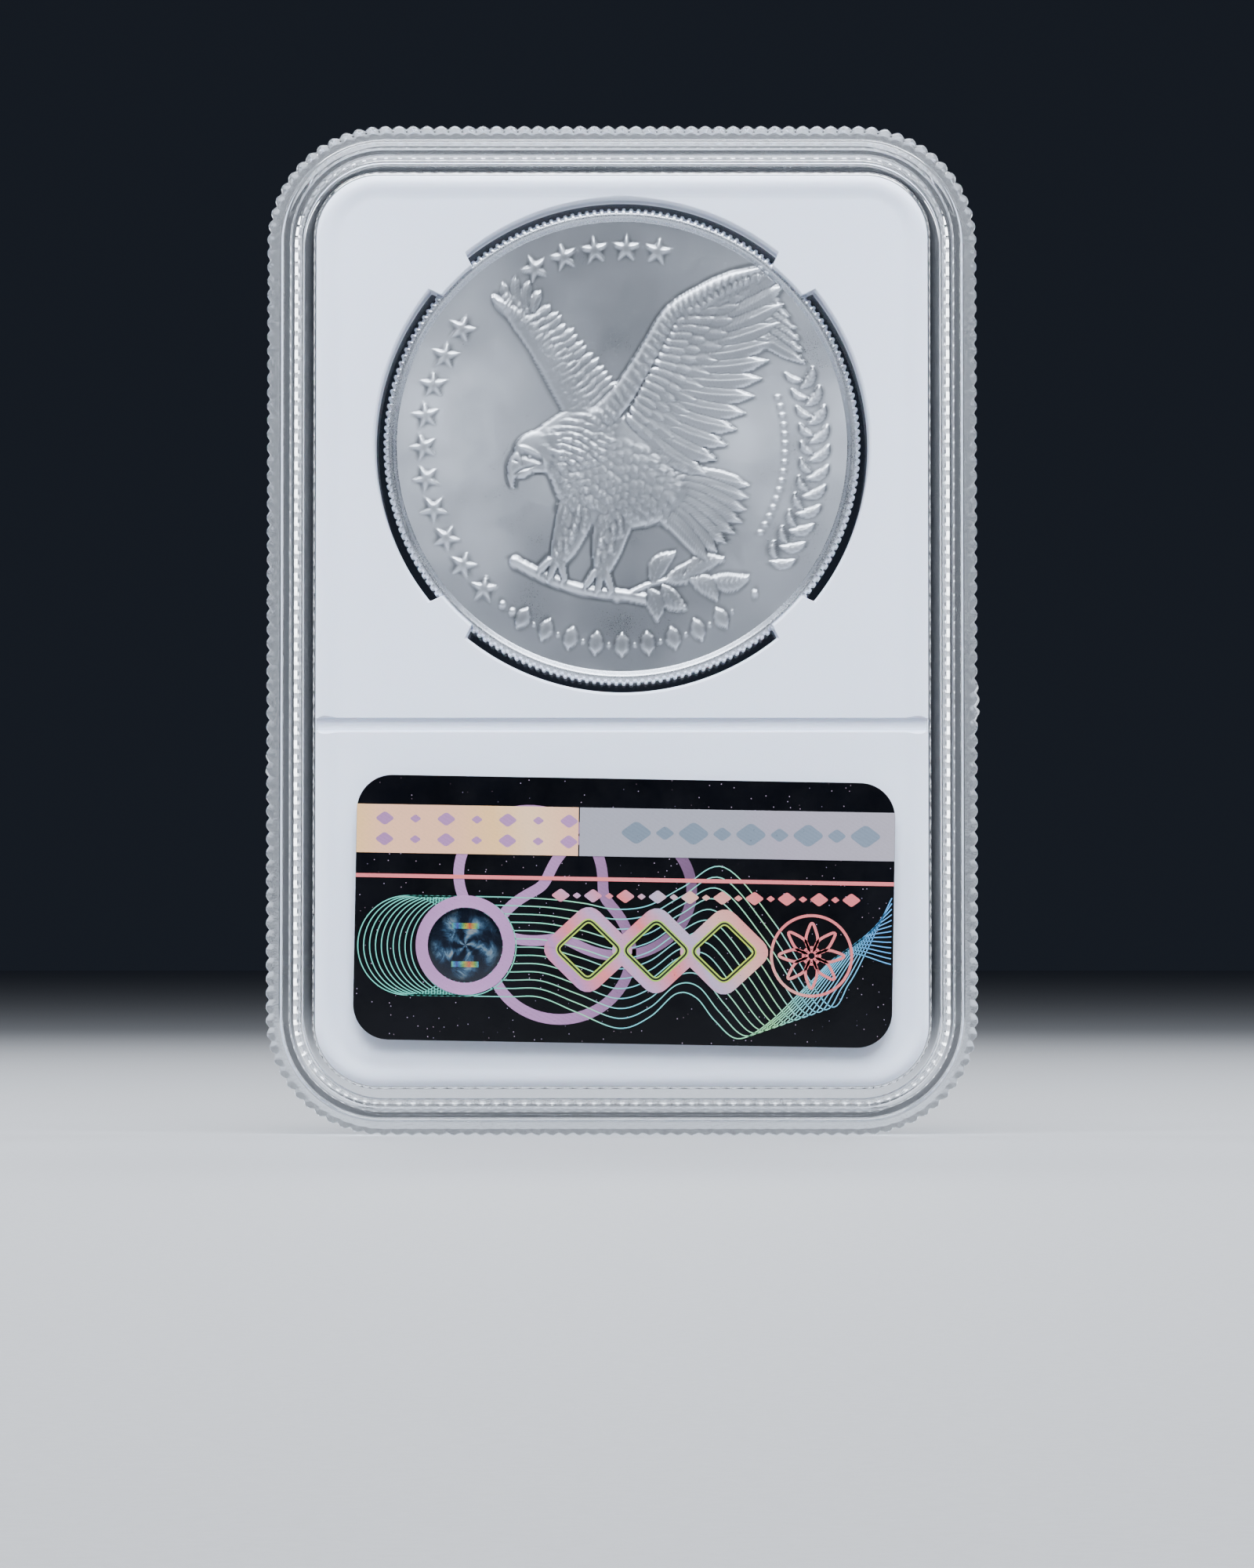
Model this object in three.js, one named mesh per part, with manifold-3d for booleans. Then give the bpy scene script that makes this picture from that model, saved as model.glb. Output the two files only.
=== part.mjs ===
// Graded coin slab: two clear moulded shells, welded edge to edge, hold a white insert that grips a
// reeded silver coin by four prongs. A paper label lies in the insert behind the front window, and a
// hologram sticker is stuck to the rear window. Nothing in it moves.
//
// Millimetres, +Z up. The slab stands on its lower edge at z = 0, with its rear towards -Y. Each piece
// is drawn flat, with x across the slab, y up it and z out of its rear face, and one group turns the
// whole slab upright.
import * as THREE from "three";
import { mergeVertices } from "three/addons/utils/BufferGeometryUtils.js";
import Module from "manifold-3d";

const wasm = await Module();
wasm.setup();

// The holder's outline. An inset is a distance inwards from it.
const SLAB_WIDTH = 60.3;
const SLAB_HEIGHT = 85.7;
const CORNER_RADIUS = 10;

// Flutes all round the edge: each is a flat crest on the outline, then a vee.
const FLUTES = 232;
const FLUTE_DEPTH = 0.3;
const CREST_SHARE = 0.4;

// Levels of one shell, measured from the middle plane of the slab.
const SEAM_HALF = 0.05;
const FLANGE_FACE = 3.1;
const RIDGE_TOP = 4;
const WINDOW_FACE = 3.3;
const CAVITY_HALF = 2.35;

// Insets of the ridge that lets slabs nest when they are stacked, and of the cavity's wall.
const RIDGE_OUTER = 1.15;
const RIDGE_INNER = 3;
const RIDGE_SLOPE = 0.3;
const CAVITY_WALL = 3.9;
const CAVITY_CORNER = 5.6;

// The joint between the shells: a tongue in a groove, with the weld bead in a channel outside it.
const TONGUE_OUTER = 2.3;
const TONGUE_INNER = 3;
const TONGUE_LENGTH = 0.9;
const TONGUE_ROOM = 0.1;
const BEAD_OUTER = 1.1;
const BEAD_INNER = 1.6;
const BEAD_HALF = 0.2;
const BEAD_ROOM = 0.02;

// The clear rib across each window, and the groove for it in the insert.
const RIB_LOW = 34.3;
const RIB_HIGH = 35.2;
const RIB_TIP = 1.85;
const RIB_ROOM = 0.1;

// The white insert, which fills the cavity with a little room all round.
const INSERT_ROOM = 0.2;
const INSERT_HALF = 2.3;
const INSERT_BEVEL = 0.8;

// The coin: reeds on its edge, and a rim standing above each field.
const COIN_HEIGHT = 58.5;
const COIN_RADIUS = 20.3;
const COIN_HALF = 1.49;
const FIELD_HALF = 1.1;
const REEDS = 201;
const REED_DEPTH = 0.16;
const RIM_CHAMFER = 0.35;
const CHAMFER_DROP = 0.25;
const RIM_FLAT = 0.35;
const RIM_FALL = 0.4;

// The insert's opening round the coin, and the prongs that grip the coin's rim.
const OPENING_RADIUS = 21;
const PRONG_RADIUS = 19.85;
const PRONG_HALF_ANGLE = THREE.MathUtils.degToRad(5);
const PRONGS = 4;
const COIN_ROOM = 0.1;

// The paper label in its recess behind the front window.
const LABEL_MIDDLE = 19.1;
const LABEL_WIDTH = 49.4;
const LABEL_HEIGHT = 26.4;
const LABEL_CORNER = 2.4;
const LABEL_THICKNESS = 0.2;
const RECESS_DEPTH = 0.35;
const RECESS_ROOM = 0.3;

// The sticker on the rear window, and what is laminated on it. Places are measured from its middle.
const FILM_MIDDLE_X = 0.2;
const FILM_MIDDLE_Y = 18.95;
const FILM_TURN = THREE.MathUtils.degToRad(-1);
const FILM_WIDTH = 45.6;
const FILM_HEIGHT = 22.4;
const FILM_CORNER = 3;
const FILM_THICKNESS = 0.12;
const FOIL_THICKNESS = 0.04;
const ADHESIVE_GAP = 0.01;
const STRIPE_LOW = 4.6;
const STRIPE_HIGH = 8.7;
const STRIPE_SPLIT = -3.95;
const STRIPE_GAP = 0.1;
const SEAL_X = -13.4;
const SEAL_Y = -3.1;
const SEAL_RADIUS = 4.2;
const LENS_RADIUS = 3.1;
const LENS_DOME = 0.1;
const LENS_GAP = 0.06;

// Flat pieces of a curve: per quarter turn, and round the coin and the seal.
const ARC_STEPS = 5;
const COIN_STEPS = 96;
const SEAL_STEPS = 48;
const OVERSHOOT = 1;

const clearPlastic = new THREE.MeshStandardMaterial({
  color: 0xe6ebf2,
  roughness: 0.06,
  metalness: 0,
  transparent: true,
  opacity: 0.3,
});
const weldPlastic = new THREE.MeshStandardMaterial({ color: 0xf0f3f8, roughness: 0.3, metalness: 0 });
const whitePlastic = new THREE.MeshStandardMaterial({ color: 0xe4e6ec, roughness: 0.45, metalness: 0 });
const silver = new THREE.MeshStandardMaterial({ color: 0xb9bcc0, roughness: 0.3, metalness: 1 });
const paper = new THREE.MeshStandardMaterial({ color: 0xf2f0ea, roughness: 0.8, metalness: 0 });
const blackFilm = new THREE.MeshStandardMaterial({ color: 0x07080b, roughness: 0.2, metalness: 0 });
const warmFoil = new THREE.MeshStandardMaterial({ color: 0xf3c9a0, roughness: 0.3, metalness: 0.6 });
const greyFoil = new THREE.MeshStandardMaterial({ color: 0xa9aab5, roughness: 0.3, metalness: 0.6 });
const lilacFoil = new THREE.MeshStandardMaterial({ color: 0xc9a8c4, roughness: 0.35, metalness: 0.5 });
const lensFoil = new THREE.MeshStandardMaterial({ color: 0x18222c, roughness: 0.15, metalness: 0.8 });

// A rounded rectangle that stands from low to high, centred on x = 0.
function roundedRect(halfWidth, low, high, radius) {
  const quarter = Math.PI / 2;
  const right = halfWidth - radius;
  const shape = new THREE.Shape();
  shape.absarc(right, low + radius, radius, -quarter, 0, false);
  shape.absarc(right, high - radius, radius, 0, quarter, false);
  shape.absarc(-right, high - radius, radius, quarter, 2 * quarter, false);
  shape.absarc(-right, low + radius, radius, 2 * quarter, 3 * quarter, false);
  return shape;
}

function slabOutline(inset, radius = CORNER_RADIUS - inset) {
  return roundedRect(SLAB_WIDTH / 2 - inset, inset, SLAB_HEIGHT - inset, radius);
}

// The point a distance along the slab's outline from the middle of its lower edge, moved in by depth.
function edgePoint(distance, depth) {
  const across = SLAB_WIDTH - 2 * CORNER_RADIUS;
  const up = SLAB_HEIGHT - 2 * CORNER_RADIUS;
  const arc = (CORNER_RADIUS * Math.PI) / 2;
  const stretches = [across / 2, arc, up, arc, across, arc, up, arc, across / 2];
  const origin = new THREE.Vector2();
  const heading = new THREE.Vector2(1, 0);
  const inward = new THREE.Vector2(0, 1);
  const point = new THREE.Vector2();
  let left = distance;
  for (const [i, stretch] of stretches.entries()) {
    const step = Math.min(left, stretch);
    if (i % 2 === 0) {
      point.addScaledVector(heading, step);
    } else {
      const turn = step / CORNER_RADIUS;
      point.rotateAround(point.clone().addScaledVector(inward, CORNER_RADIUS), turn);
      heading.rotateAround(origin, turn);
      inward.rotateAround(origin, turn);
    }
    left -= step;
  }
  return point.addScaledVector(inward, depth);
}

function flutedOutline() {
  const straights = 2 * (SLAB_WIDTH + SLAB_HEIGHT - 4 * CORNER_RADIUS);
  const perimeter = straights + 2 * Math.PI * CORNER_RADIUS;
  const pitch = perimeter / FLUTES;
  const halfCrest = (pitch * CREST_SHARE) / 2;
  const points = [];
  for (let i = 0; i < FLUTES; i += 1) {
    const crest = i * pitch;
    points.push(edgePoint((crest - halfCrest + perimeter) % perimeter, 0));
    points.push(edgePoint(crest + halfCrest, 0));
    points.push(edgePoint(crest + pitch / 2, FLUTE_DEPTH));
  }
  return new THREE.Shape(points);
}

function reededOutline() {
  const points = [];
  for (let i = 0; i < REEDS * 2; i += 1) {
    const angle = (i * Math.PI) / REEDS;
    const radius = COIN_RADIUS - (i % 2) * REED_DEPTH;
    points.push(new THREE.Vector2(radius * Math.cos(angle), radius * Math.sin(angle)));
  }
  return new THREE.Shape(points);
}

// The hole round the coin: wide arcs, with a prong reaching in between each two.
function openingOutline() {
  const shape = new THREE.Shape();
  const apart = (2 * Math.PI) / PRONGS;
  for (let i = 0; i < PRONGS; i += 1) {
    const start = apart * (i + 0.5) - PRONG_HALF_ANGLE;
    const end = apart * (i + 0.5) + PRONG_HALF_ANGLE;
    shape.absarc(0, 0, PRONG_RADIUS, start, end, false);
    shape.absarc(0, 0, OPENING_RADIUS, end, start + apart, false);
  }
  return shape;
}

function prism(shape, from, to, curveSegments = ARC_STEPS) {
  const settings = { depth: to - from, bevelEnabled: false, curveSegments };
  return new THREE.ExtrudeGeometry(shape, settings).translate(0, 0, from);
}

function disc(radius, from, to, segments) {
  const geometry = new THREE.CylinderGeometry(radius, radius, to - from, segments);
  return geometry.rotateX(Math.PI / 2).translate(0, 0, (from + to) / 2);
}

// A three.js geometry as a solid that can be joined and cut.
function solidOf(geometry) {
  const bare = geometry.index ? geometry.toNonIndexed() : geometry.clone();
  bare.deleteAttribute("normal");
  bare.deleteAttribute("uv");
  const merged = mergeVertices(bare, 1e-4);
  const corners = Array.from(merged.index.array);
  const triangles = [];
  for (let i = 0; i < corners.length; i += 3) {
    const [a, b, c] = corners.slice(i, i + 3);
    if (a !== b && b !== c && c !== a) triangles.push(a, b, c);
  }
  const vertProperties = merged.attributes.position.array;
  return new wasm.Manifold(new wasm.Mesh({ numProp: 3, vertProperties, triVerts: new Uint32Array(triangles) }));
}

function geometryOf(solid) {
  const mesh = solid.getMesh();
  const geometry = new THREE.BufferGeometry();
  geometry.setAttribute("position", new THREE.BufferAttribute(new Float32Array(mesh.vertProperties), 3));
  geometry.setIndex(new THREE.BufferAttribute(new Uint32Array(mesh.triVerts), 1));
  geometry.computeVertexNormals();
  return geometry;
}

function ring(outerInset, innerInset, from, to) {
  const shape = slabOutline(outerInset);
  shape.holes.push(slabOutline(innerInset));
  return solidOf(prism(shape, from, to));
}

// Flat on top, with a slope down each side: the two bevels of one plate, of which the far one is sunk
// in the shell.
function stackingRidge() {
  const rise = RIDGE_TOP - FLANGE_FACE;
  const shape = slabOutline(RIDGE_OUTER);
  shape.holes.push(slabOutline(RIDGE_INNER));
  const geometry = new THREE.ExtrudeGeometry(shape, {
    depth: 0.1,
    bevelThickness: rise,
    bevelSize: RIDGE_SLOPE,
    bevelOffset: -RIDGE_SLOPE,
    bevelSegments: 1,
    curveSegments: ARC_STEPS,
  });
  return solidOf(geometry.translate(0, 0, FLANGE_FACE - 0.1));
}

// The rib's ends and its root run a little way into the shell, so that they join as one body.
function windowRib() {
  const width = SLAB_WIDTH - 2 * CAVITY_WALL + OVERSHOOT;
  const root = (CAVITY_HALF + WINDOW_FACE) / 2;
  const rib = new THREE.BoxGeometry(width, RIB_HIGH - RIB_LOW, root - RIB_TIP);
  return solidOf(rib.translate(0, (RIB_LOW + RIB_HIGH) / 2, (root + RIB_TIP) / 2));
}

// One half of the holder, from the seam outwards.
function shellHalf() {
  const window = prism(slabOutline(RIDGE_INNER - RIDGE_SLOPE), CAVITY_HALF, WINDOW_FACE);
  const cavity = prism(slabOutline(CAVITY_WALL, CAVITY_CORNER), -OVERSHOOT, CAVITY_HALF);
  const channel = ring(BEAD_OUTER - BEAD_ROOM, BEAD_INNER + BEAD_ROOM, -OVERSHOOT, BEAD_HALF + BEAD_ROOM);
  return solidOf(prism(flutedOutline(), SEAM_HALF, FLANGE_FACE))
    .add(solidOf(window))
    .add(stackingRidge())
    .subtract(solidOf(cavity))
    .add(windowRib())
    .subtract(channel);
}

function tongueShell() {
  return geometryOf(shellHalf().add(ring(TONGUE_OUTER, TONGUE_INNER, -TONGUE_LENGTH, OVERSHOOT)));
}

function grooveShell() {
  const outer = TONGUE_OUTER - TONGUE_ROOM;
  const inner = TONGUE_INNER + TONGUE_ROOM;
  const groove = ring(outer, inner, -OVERSHOOT, TONGUE_LENGTH + TONGUE_ROOM);
  return geometryOf(shellHalf().subtract(groove));
}

function weldBead() {
  return geometryOf(ring(BEAD_OUTER, BEAD_INNER, -BEAD_HALF, BEAD_HALF));
}

// The insert before it is cut: rounded along its whole outer edge.
function insertBlank() {
  const shape = slabOutline(CAVITY_WALL + INSERT_ROOM, CAVITY_CORNER - INSERT_ROOM);
  const geometry = new THREE.ExtrudeGeometry(shape, {
    depth: 2 * (INSERT_HALF - INSERT_BEVEL),
    bevelThickness: INSERT_BEVEL,
    bevelSize: INSERT_BEVEL,
    bevelOffset: -INSERT_BEVEL,
    bevelSegments: 3,
    curveSegments: ARC_STEPS,
  });
  return solidOf(geometry.translate(0, 0, INSERT_BEVEL - INSERT_HALF));
}

// The grooves that both windows' ribs sit in.
function ribGroove(side) {
  const height = RIB_HIGH - RIB_LOW + 2 * RIB_ROOM;
  const groove = new THREE.BoxGeometry(SLAB_WIDTH, height, 2);
  return solidOf(groove.translate(0, (RIB_LOW + RIB_HIGH) / 2, side * (RIB_TIP - RIB_ROOM + 1)));
}

function insert() {
  const opening = prism(openingOutline(), -INSERT_HALF - OVERSHOOT, INSERT_HALF + OVERSHOOT, 2 * ARC_STEPS);
  const grip = disc(COIN_RADIUS + COIN_ROOM, -COIN_HALF - COIN_ROOM, COIN_HALF + COIN_ROOM, COIN_STEPS);
  const recess = prism(
    roundedRect(
      LABEL_WIDTH / 2 + RECESS_ROOM,
      LABEL_MIDDLE - LABEL_HEIGHT / 2 - RECESS_ROOM,
      LABEL_MIDDLE + LABEL_HEIGHT / 2 + RECESS_ROOM,
      LABEL_CORNER + RECESS_ROOM,
    ),
    -INSERT_HALF - OVERSHOOT,
    RECESS_DEPTH - INSERT_HALF,
  );
  return geometryOf(
    insertBlank()
      .subtract(solidOf(opening.translate(0, COIN_HEIGHT, 0)))
      .subtract(solidOf(grip.translate(0, COIN_HEIGHT, 0)))
      .subtract(solidOf(recess))
      .subtract(ribGroove(1))
      .subtract(ribGroove(-1)),
  );
}

// A turned blank with a chamfered rim and a sunk field on each face, cut to the reeded outline.
function coin() {
  const chamferTop = COIN_RADIUS - RIM_CHAMFER;
  const field = chamferTop - RIM_FLAT - RIM_FALL;
  const face = [
    [0, FIELD_HALF],
    [field, FIELD_HALF],
    [field + RIM_FALL, COIN_HALF],
    [chamferTop, COIN_HALF],
    [COIN_RADIUS + RIM_CHAMFER, COIN_HALF - 2 * CHAMFER_DROP],
  ];
  const upper = face.map(([radius, height]) => new THREE.Vector2(radius, height)).reverse();
  const lower = face.map(([radius, height]) => new THREE.Vector2(radius, -height));
  const blank = new THREE.LatheGeometry([...lower, ...upper], COIN_STEPS).rotateX(Math.PI / 2);
  const reeded = prism(reededOutline(), -COIN_HALF - OVERSHOOT, COIN_HALF + OVERSHOOT);
  return geometryOf(solidOf(blank).intersect(solidOf(reeded)));
}

function label() {
  const half = LABEL_HEIGHT / 2;
  return prism(roundedRect(LABEL_WIDTH / 2, -half, half, LABEL_CORNER), 0, LABEL_THICKNESS);
}

function film() {
  const half = FILM_HEIGHT / 2;
  return prism(roundedRect(FILM_WIDTH / 2, -half, half, FILM_CORNER), 0, FILM_THICKNESS);
}

function foilStripe(from, to) {
  const stripe = new THREE.BoxGeometry(to - from, STRIPE_HIGH - STRIPE_LOW, FOIL_THICKNESS);
  return stripe.translate((from + to) / 2, (STRIPE_LOW + STRIPE_HIGH) / 2, FOIL_THICKNESS / 2);
}

function sealRing() {
  const section = [
    new THREE.Vector2(LENS_RADIUS + LENS_GAP, 0),
    new THREE.Vector2(SEAL_RADIUS, 0),
    new THREE.Vector2(SEAL_RADIUS, FOIL_THICKNESS),
    new THREE.Vector2(LENS_RADIUS + LENS_GAP, FOIL_THICKNESS),
    new THREE.Vector2(LENS_RADIUS + LENS_GAP, 0),
  ];
  return new THREE.LatheGeometry(section, SEAL_STEPS).rotateX(Math.PI / 2);
}

function sealLens() {
  const section = [
    new THREE.Vector2(0, 0),
    new THREE.Vector2(LENS_RADIUS, 0),
    new THREE.Vector2(LENS_RADIUS, FOIL_THICKNESS),
    new THREE.Vector2(LENS_RADIUS * 0.7, LENS_DOME * 0.75),
    new THREE.Vector2(0, LENS_DOME),
  ];
  return new THREE.LatheGeometry(section, SEAL_STEPS).rotateX(Math.PI / 2);
}

function piece(name, geometry, material) {
  const mesh = new THREE.Mesh(geometry, material);
  mesh.name = name;
  return mesh;
}

function holder() {
  const group = new THREE.Group();
  const front = piece("front_shell", tongueShell(), clearPlastic);
  front.rotation.y = Math.PI;
  group.add(front);
  group.add(piece("rear_shell", grooveShell(), clearPlastic));
  group.add(piece("weld_bead", weldBead(), weldPlastic));
  return group;
}

function contents() {
  const group = new THREE.Group();
  group.add(piece("white_insert", insert(), whitePlastic));
  const round = piece("coin", coin(), silver);
  round.position.y = COIN_HEIGHT;
  group.add(round);
  const card = piece("paper_label", label(), paper);
  card.rotation.y = Math.PI;
  card.position.set(0, LABEL_MIDDLE, RECESS_DEPTH - INSERT_HALF - ADHESIVE_GAP);
  group.add(card);
  return group;
}

function sticker() {
  const group = new THREE.Group();
  group.add(piece("hologram_film", film(), blackFilm));
  const inner = FILM_WIDTH / 2;
  const layers = [
    piece("warm_foil_stripe", foilStripe(-inner, STRIPE_SPLIT - STRIPE_GAP / 2), warmFoil),
    piece("grey_foil_stripe", foilStripe(STRIPE_SPLIT + STRIPE_GAP / 2, inner), greyFoil),
    piece("seal_ring", sealRing().translate(SEAL_X, SEAL_Y, 0), lilacFoil),
    piece("seal_lens", sealLens().translate(SEAL_X, SEAL_Y, 0), lensFoil),
  ];
  for (const layer of layers) {
    layer.position.z = FILM_THICKNESS + ADHESIVE_GAP;
    group.add(layer);
  }
  group.rotation.z = FILM_TURN;
  group.position.set(FILM_MIDDLE_X, FILM_MIDDLE_Y, WINDOW_FACE + ADHESIVE_GAP);
  return group;
}

const slab = new THREE.Group();
slab.add(holder(), contents(), sticker());
slab.rotation.x = Math.PI / 2;

export default slab;
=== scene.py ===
"""A graded coin slab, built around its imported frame: two clear shells, their weld, a white insert, a silver
coin, a paper label and a hologram sticker. Each piece or group of like pieces has its own operator.

Shapes are drawn in millimetres in the slab's own flat frame, with x across it, y up it and z out of its
rear face. Rear pieces have z above zero, and front pieces are drawn the same way and turned about.
"""

import math

import bpy
import numpy as np
from bpy.props import FloatProperty, FloatVectorProperty, IntProperty, PointerProperty
from mathutils import Matrix, Vector
from mathutils.geometry import tessellate_polygon


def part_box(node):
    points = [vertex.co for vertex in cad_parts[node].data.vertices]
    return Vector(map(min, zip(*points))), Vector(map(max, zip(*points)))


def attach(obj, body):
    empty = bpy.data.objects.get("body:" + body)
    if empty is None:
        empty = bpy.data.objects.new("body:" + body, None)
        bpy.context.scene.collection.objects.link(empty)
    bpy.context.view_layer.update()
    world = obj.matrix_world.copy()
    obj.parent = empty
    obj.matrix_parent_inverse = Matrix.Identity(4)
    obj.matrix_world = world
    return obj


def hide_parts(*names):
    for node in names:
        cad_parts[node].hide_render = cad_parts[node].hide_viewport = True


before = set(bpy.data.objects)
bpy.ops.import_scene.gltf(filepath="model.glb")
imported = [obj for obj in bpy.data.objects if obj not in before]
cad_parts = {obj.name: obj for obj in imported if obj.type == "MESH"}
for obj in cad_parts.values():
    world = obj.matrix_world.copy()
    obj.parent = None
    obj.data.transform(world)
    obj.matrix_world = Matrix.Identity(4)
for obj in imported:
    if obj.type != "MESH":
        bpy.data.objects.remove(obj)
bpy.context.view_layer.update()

bl_info = {
    "name": "Graded Coin Slab",
    "version": (1, 0, 0),
    "blender": (4, 5, 0),
    "location": "View3D > Sidebar > Coin Slab",
    "description": "Builds a clear welded coin holder with its insert, coin, label and hologram sticker",
    "category": "Add Mesh",
}

MM = 0.001
TURN = 2 * math.pi
FLAT_TO_UPRIGHT = Matrix.Rotation(math.pi / 2, 4, "X")
REAR_TO_FRONT = Matrix.Rotation(math.pi, 4, "Z")


def node_size(node):
    low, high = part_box(node)
    return high - low


def node_middle(node):
    low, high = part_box(node)
    return (low + high) / 2


# --- what a user can change ---------------------------------------------------------------------------


def length(name, description, default):
    return FloatProperty(
        name=name, description=description, default=default, min=0, precision=5, unit="LENGTH", subtype="DISTANCE"
    )


def colour(name, description, default):
    return FloatVectorProperty(
        name=name, description=description, default=default, size=3, min=0, max=1, subtype="COLOR"
    )


class ShellSettings(bpy.types.PropertyGroup):
    width: length("Width", "Width of the holder", node_size("rear_shell").x)
    height: length("Height", "Height of the holder", node_size("rear_shell").z)
    corner: length("Corner radius", "Radius of the holder's corners", 10 * MM)
    half: length("Half thickness", "From the seam to the stacking ridge's top", -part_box("rear_shell")[0].y)
    flutes: IntProperty(name="Flutes", description="Number of flutes round the edge", default=232, min=8)
    flute_depth: length("Flute depth", "Depth of the vees between the flutes", 0.3 * MM)
    cavity: length("Cavity half depth", "From the seam to the inside of a window", 2.35 * MM)
    plastic: colour("Clear plastic", "Tint of the clear plastic", (0.965, 0.98, 1.0))


class InsertSettings(bpy.types.PropertyGroup):
    inset: length("Margin", "From the holder's edge to the insert's edge", 4.1 * MM)
    corner: length("Corner radius", "Radius of the insert's corners", 5.4 * MM)
    half: length("Half thickness", "Half of the insert's thickness", node_size("white_insert").y / 2)
    opening: length("Opening radius", "Radius of the opening round the coin", 21 * MM)
    prong: length("Prong radius", "Radius that the four prongs reach in to", 19.85 * MM)
    plastic: colour("White plastic", "Colour of the insert", (0.795, 0.84, 0.965))


class CoinSettings(bpy.types.PropertyGroup):
    radius: length("Radius", "Radius of the coin", node_size("coin").x / 2)
    half: length("Half thickness", "Half of the coin's thickness at its rim", node_size("coin").y / 2)
    field: length("Field height", "From the coin's middle to the field of a face", 1.1 * MM)
    reeds: IntProperty(name="Reeds", description="Number of reeds on the edge", default=201, min=8)
    cells: IntProperty(name="Cells", description="Cells across a struck face", default=300, min=40, max=310)
    silver: colour("Silver", "Colour of the struck silver", (0.66, 0.68, 0.72))


class StickerSettings(bpy.types.PropertyGroup):
    width: length("Width", "Width of the hologram sticker", 45.6 * MM)
    height: length("Height", "Height of the hologram sticker", 22.4 * MM)
    corner: length("Corner radius", "Radius of the sticker's corners", 3 * MM)
    thickness: length("Thickness", "Thickness of the black film", 0.12 * MM)
    lines: IntProperty(name="Lines", description="Number of wavy security lines", default=13, min=2)
    peach: colour("Peach foil", "Colour of the warm foil", (1.0, 0.55, 0.34))
    grey: colour("Grey foil", "Colour of the grey foil", (0.36, 0.36, 0.42))
    pink: colour("Pink foil", "Colour of the pink foil", (1.0, 0.22, 0.24))
    lilac: colour("Lilac foil", "Colour of the lilac foil", (0.56, 0.28, 0.58))
    teal: colour("Teal foil", "Colour of the security lines", (0.14, 0.68, 0.55))
    blue: colour("Blue foil", "Colour of the security lines at the right", (0.10, 0.42, 0.90))


class LabelSettings(bpy.types.PropertyGroup):
    width: length("Width", "Width of the paper label", node_size("paper_label").x)
    height: length("Height", "Height of the paper label", node_size("paper_label").z)
    paper: colour("Paper", "Colour of the label's paper", (0.86, 0.84, 0.79))
    ink: colour("Ink", "Colour of the printed band", (0.02, 0.055, 0.15))
    gold: colour("Gold", "Colour of the gold foil", (0.72, 0.50, 0.20))


class StageSettings(bpy.types.PropertyGroup):
    distance: length("Distance", "From the camera to the slab", 0.6)
    eye: length("Eye height", "Height of the camera over the floor", 0.016)
    frame_height: length("Frame height", "Height of the picture at the slab", 0.1335)
    floor: colour("Floor", "Colour of the floor", (0.43, 0.445, 0.475))


SETTINGS = {
    "slab_shells": ShellSettings,
    "slab_insert": InsertSettings,
    "slab_coin": CoinSettings,
    "slab_sticker": StickerSettings,
    "slab_label": LabelSettings,
    "slab_stage": StageSettings,
}

# --- meshes -------------------------------------------------------------------------------------------


def faces_outward(points, faces):
    """The faces, turned over if the closed surface that they make is inside out."""
    volume = 0.0
    for face in faces:
        a = points[face[0]]
        for b, c in zip(face[1:], face[2:]):
            volume += np.dot(a, np.cross(points[b], points[c]))
    return faces if volume > 0 else [face[::-1] for face in faces]


def plain_mesh(name, points, faces, sharp_angle=35.0):
    """A smooth mesh in metres, still lying flat, from points in millimetres."""
    mesh = bpy.data.meshes.new(name)
    mesh.from_pydata((np.asarray(points, float) * MM).tolist(), [], faces)
    mesh.shade_smooth()
    mesh.set_sharp_from_angle(angle=math.radians(sharp_angle))
    return mesh


def weigh_normals(piece):
    """Large flat faces keep their own normal, and the roundings beside them take up the turn."""
    modifier = piece.modifiers.new("Weighted normals", "WEIGHTED_NORMAL")
    modifier.keep_sharp = True
    modifier.weight = 90
    bake_modifiers(piece)


def bake_modifiers(piece):
    """The piece's modifiers become its mesh, and go."""
    graph = bpy.context.evaluated_depsgraph_get()
    mesh = bpy.data.meshes.new_from_object(piece.evaluated_get(graph))
    piece.modifiers.clear()
    piece.data = mesh


def link_piece(name, mesh):
    piece = bpy.data.objects.new(name, mesh)
    bpy.context.scene.collection.objects.link(piece)
    return piece


def stand_up(piece, front=False):
    """Turns a piece that was drawn flat upright, through its mesh, so that its object stays at the origin."""
    piece.data.transform(REAR_TO_FRONT @ FLAT_TO_UPRIGHT if front else FLAT_TO_UPRIGHT)


def finish_piece(piece, material, slot, *nodes):
    """Gives the piece its material, puts it on the root body, and hides the imported nodes that it stands for."""
    piece.data.materials.clear()
    piece.data.materials.append(material)
    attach(piece, "root")
    if nodes:
        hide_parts(*nodes)


def loft(rings, first=0, closed=False):
    """Quads between rings of equal length, numbered from first. A closed loft joins its last ring to its first."""
    size = len(rings[0])
    k = np.arange(size)
    after = (k + 1) % size
    count = len(rings)
    faces = []
    for i in range(count if closed else count - 1):
        low, high = first + i * size, first + ((i + 1) % count) * size
        faces += np.column_stack([low + k, low + after, high + after, high + k]).tolist()
    return faces


def at_height(ring, height):
    return np.column_stack([ring, np.full(len(ring), float(height))])


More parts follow.
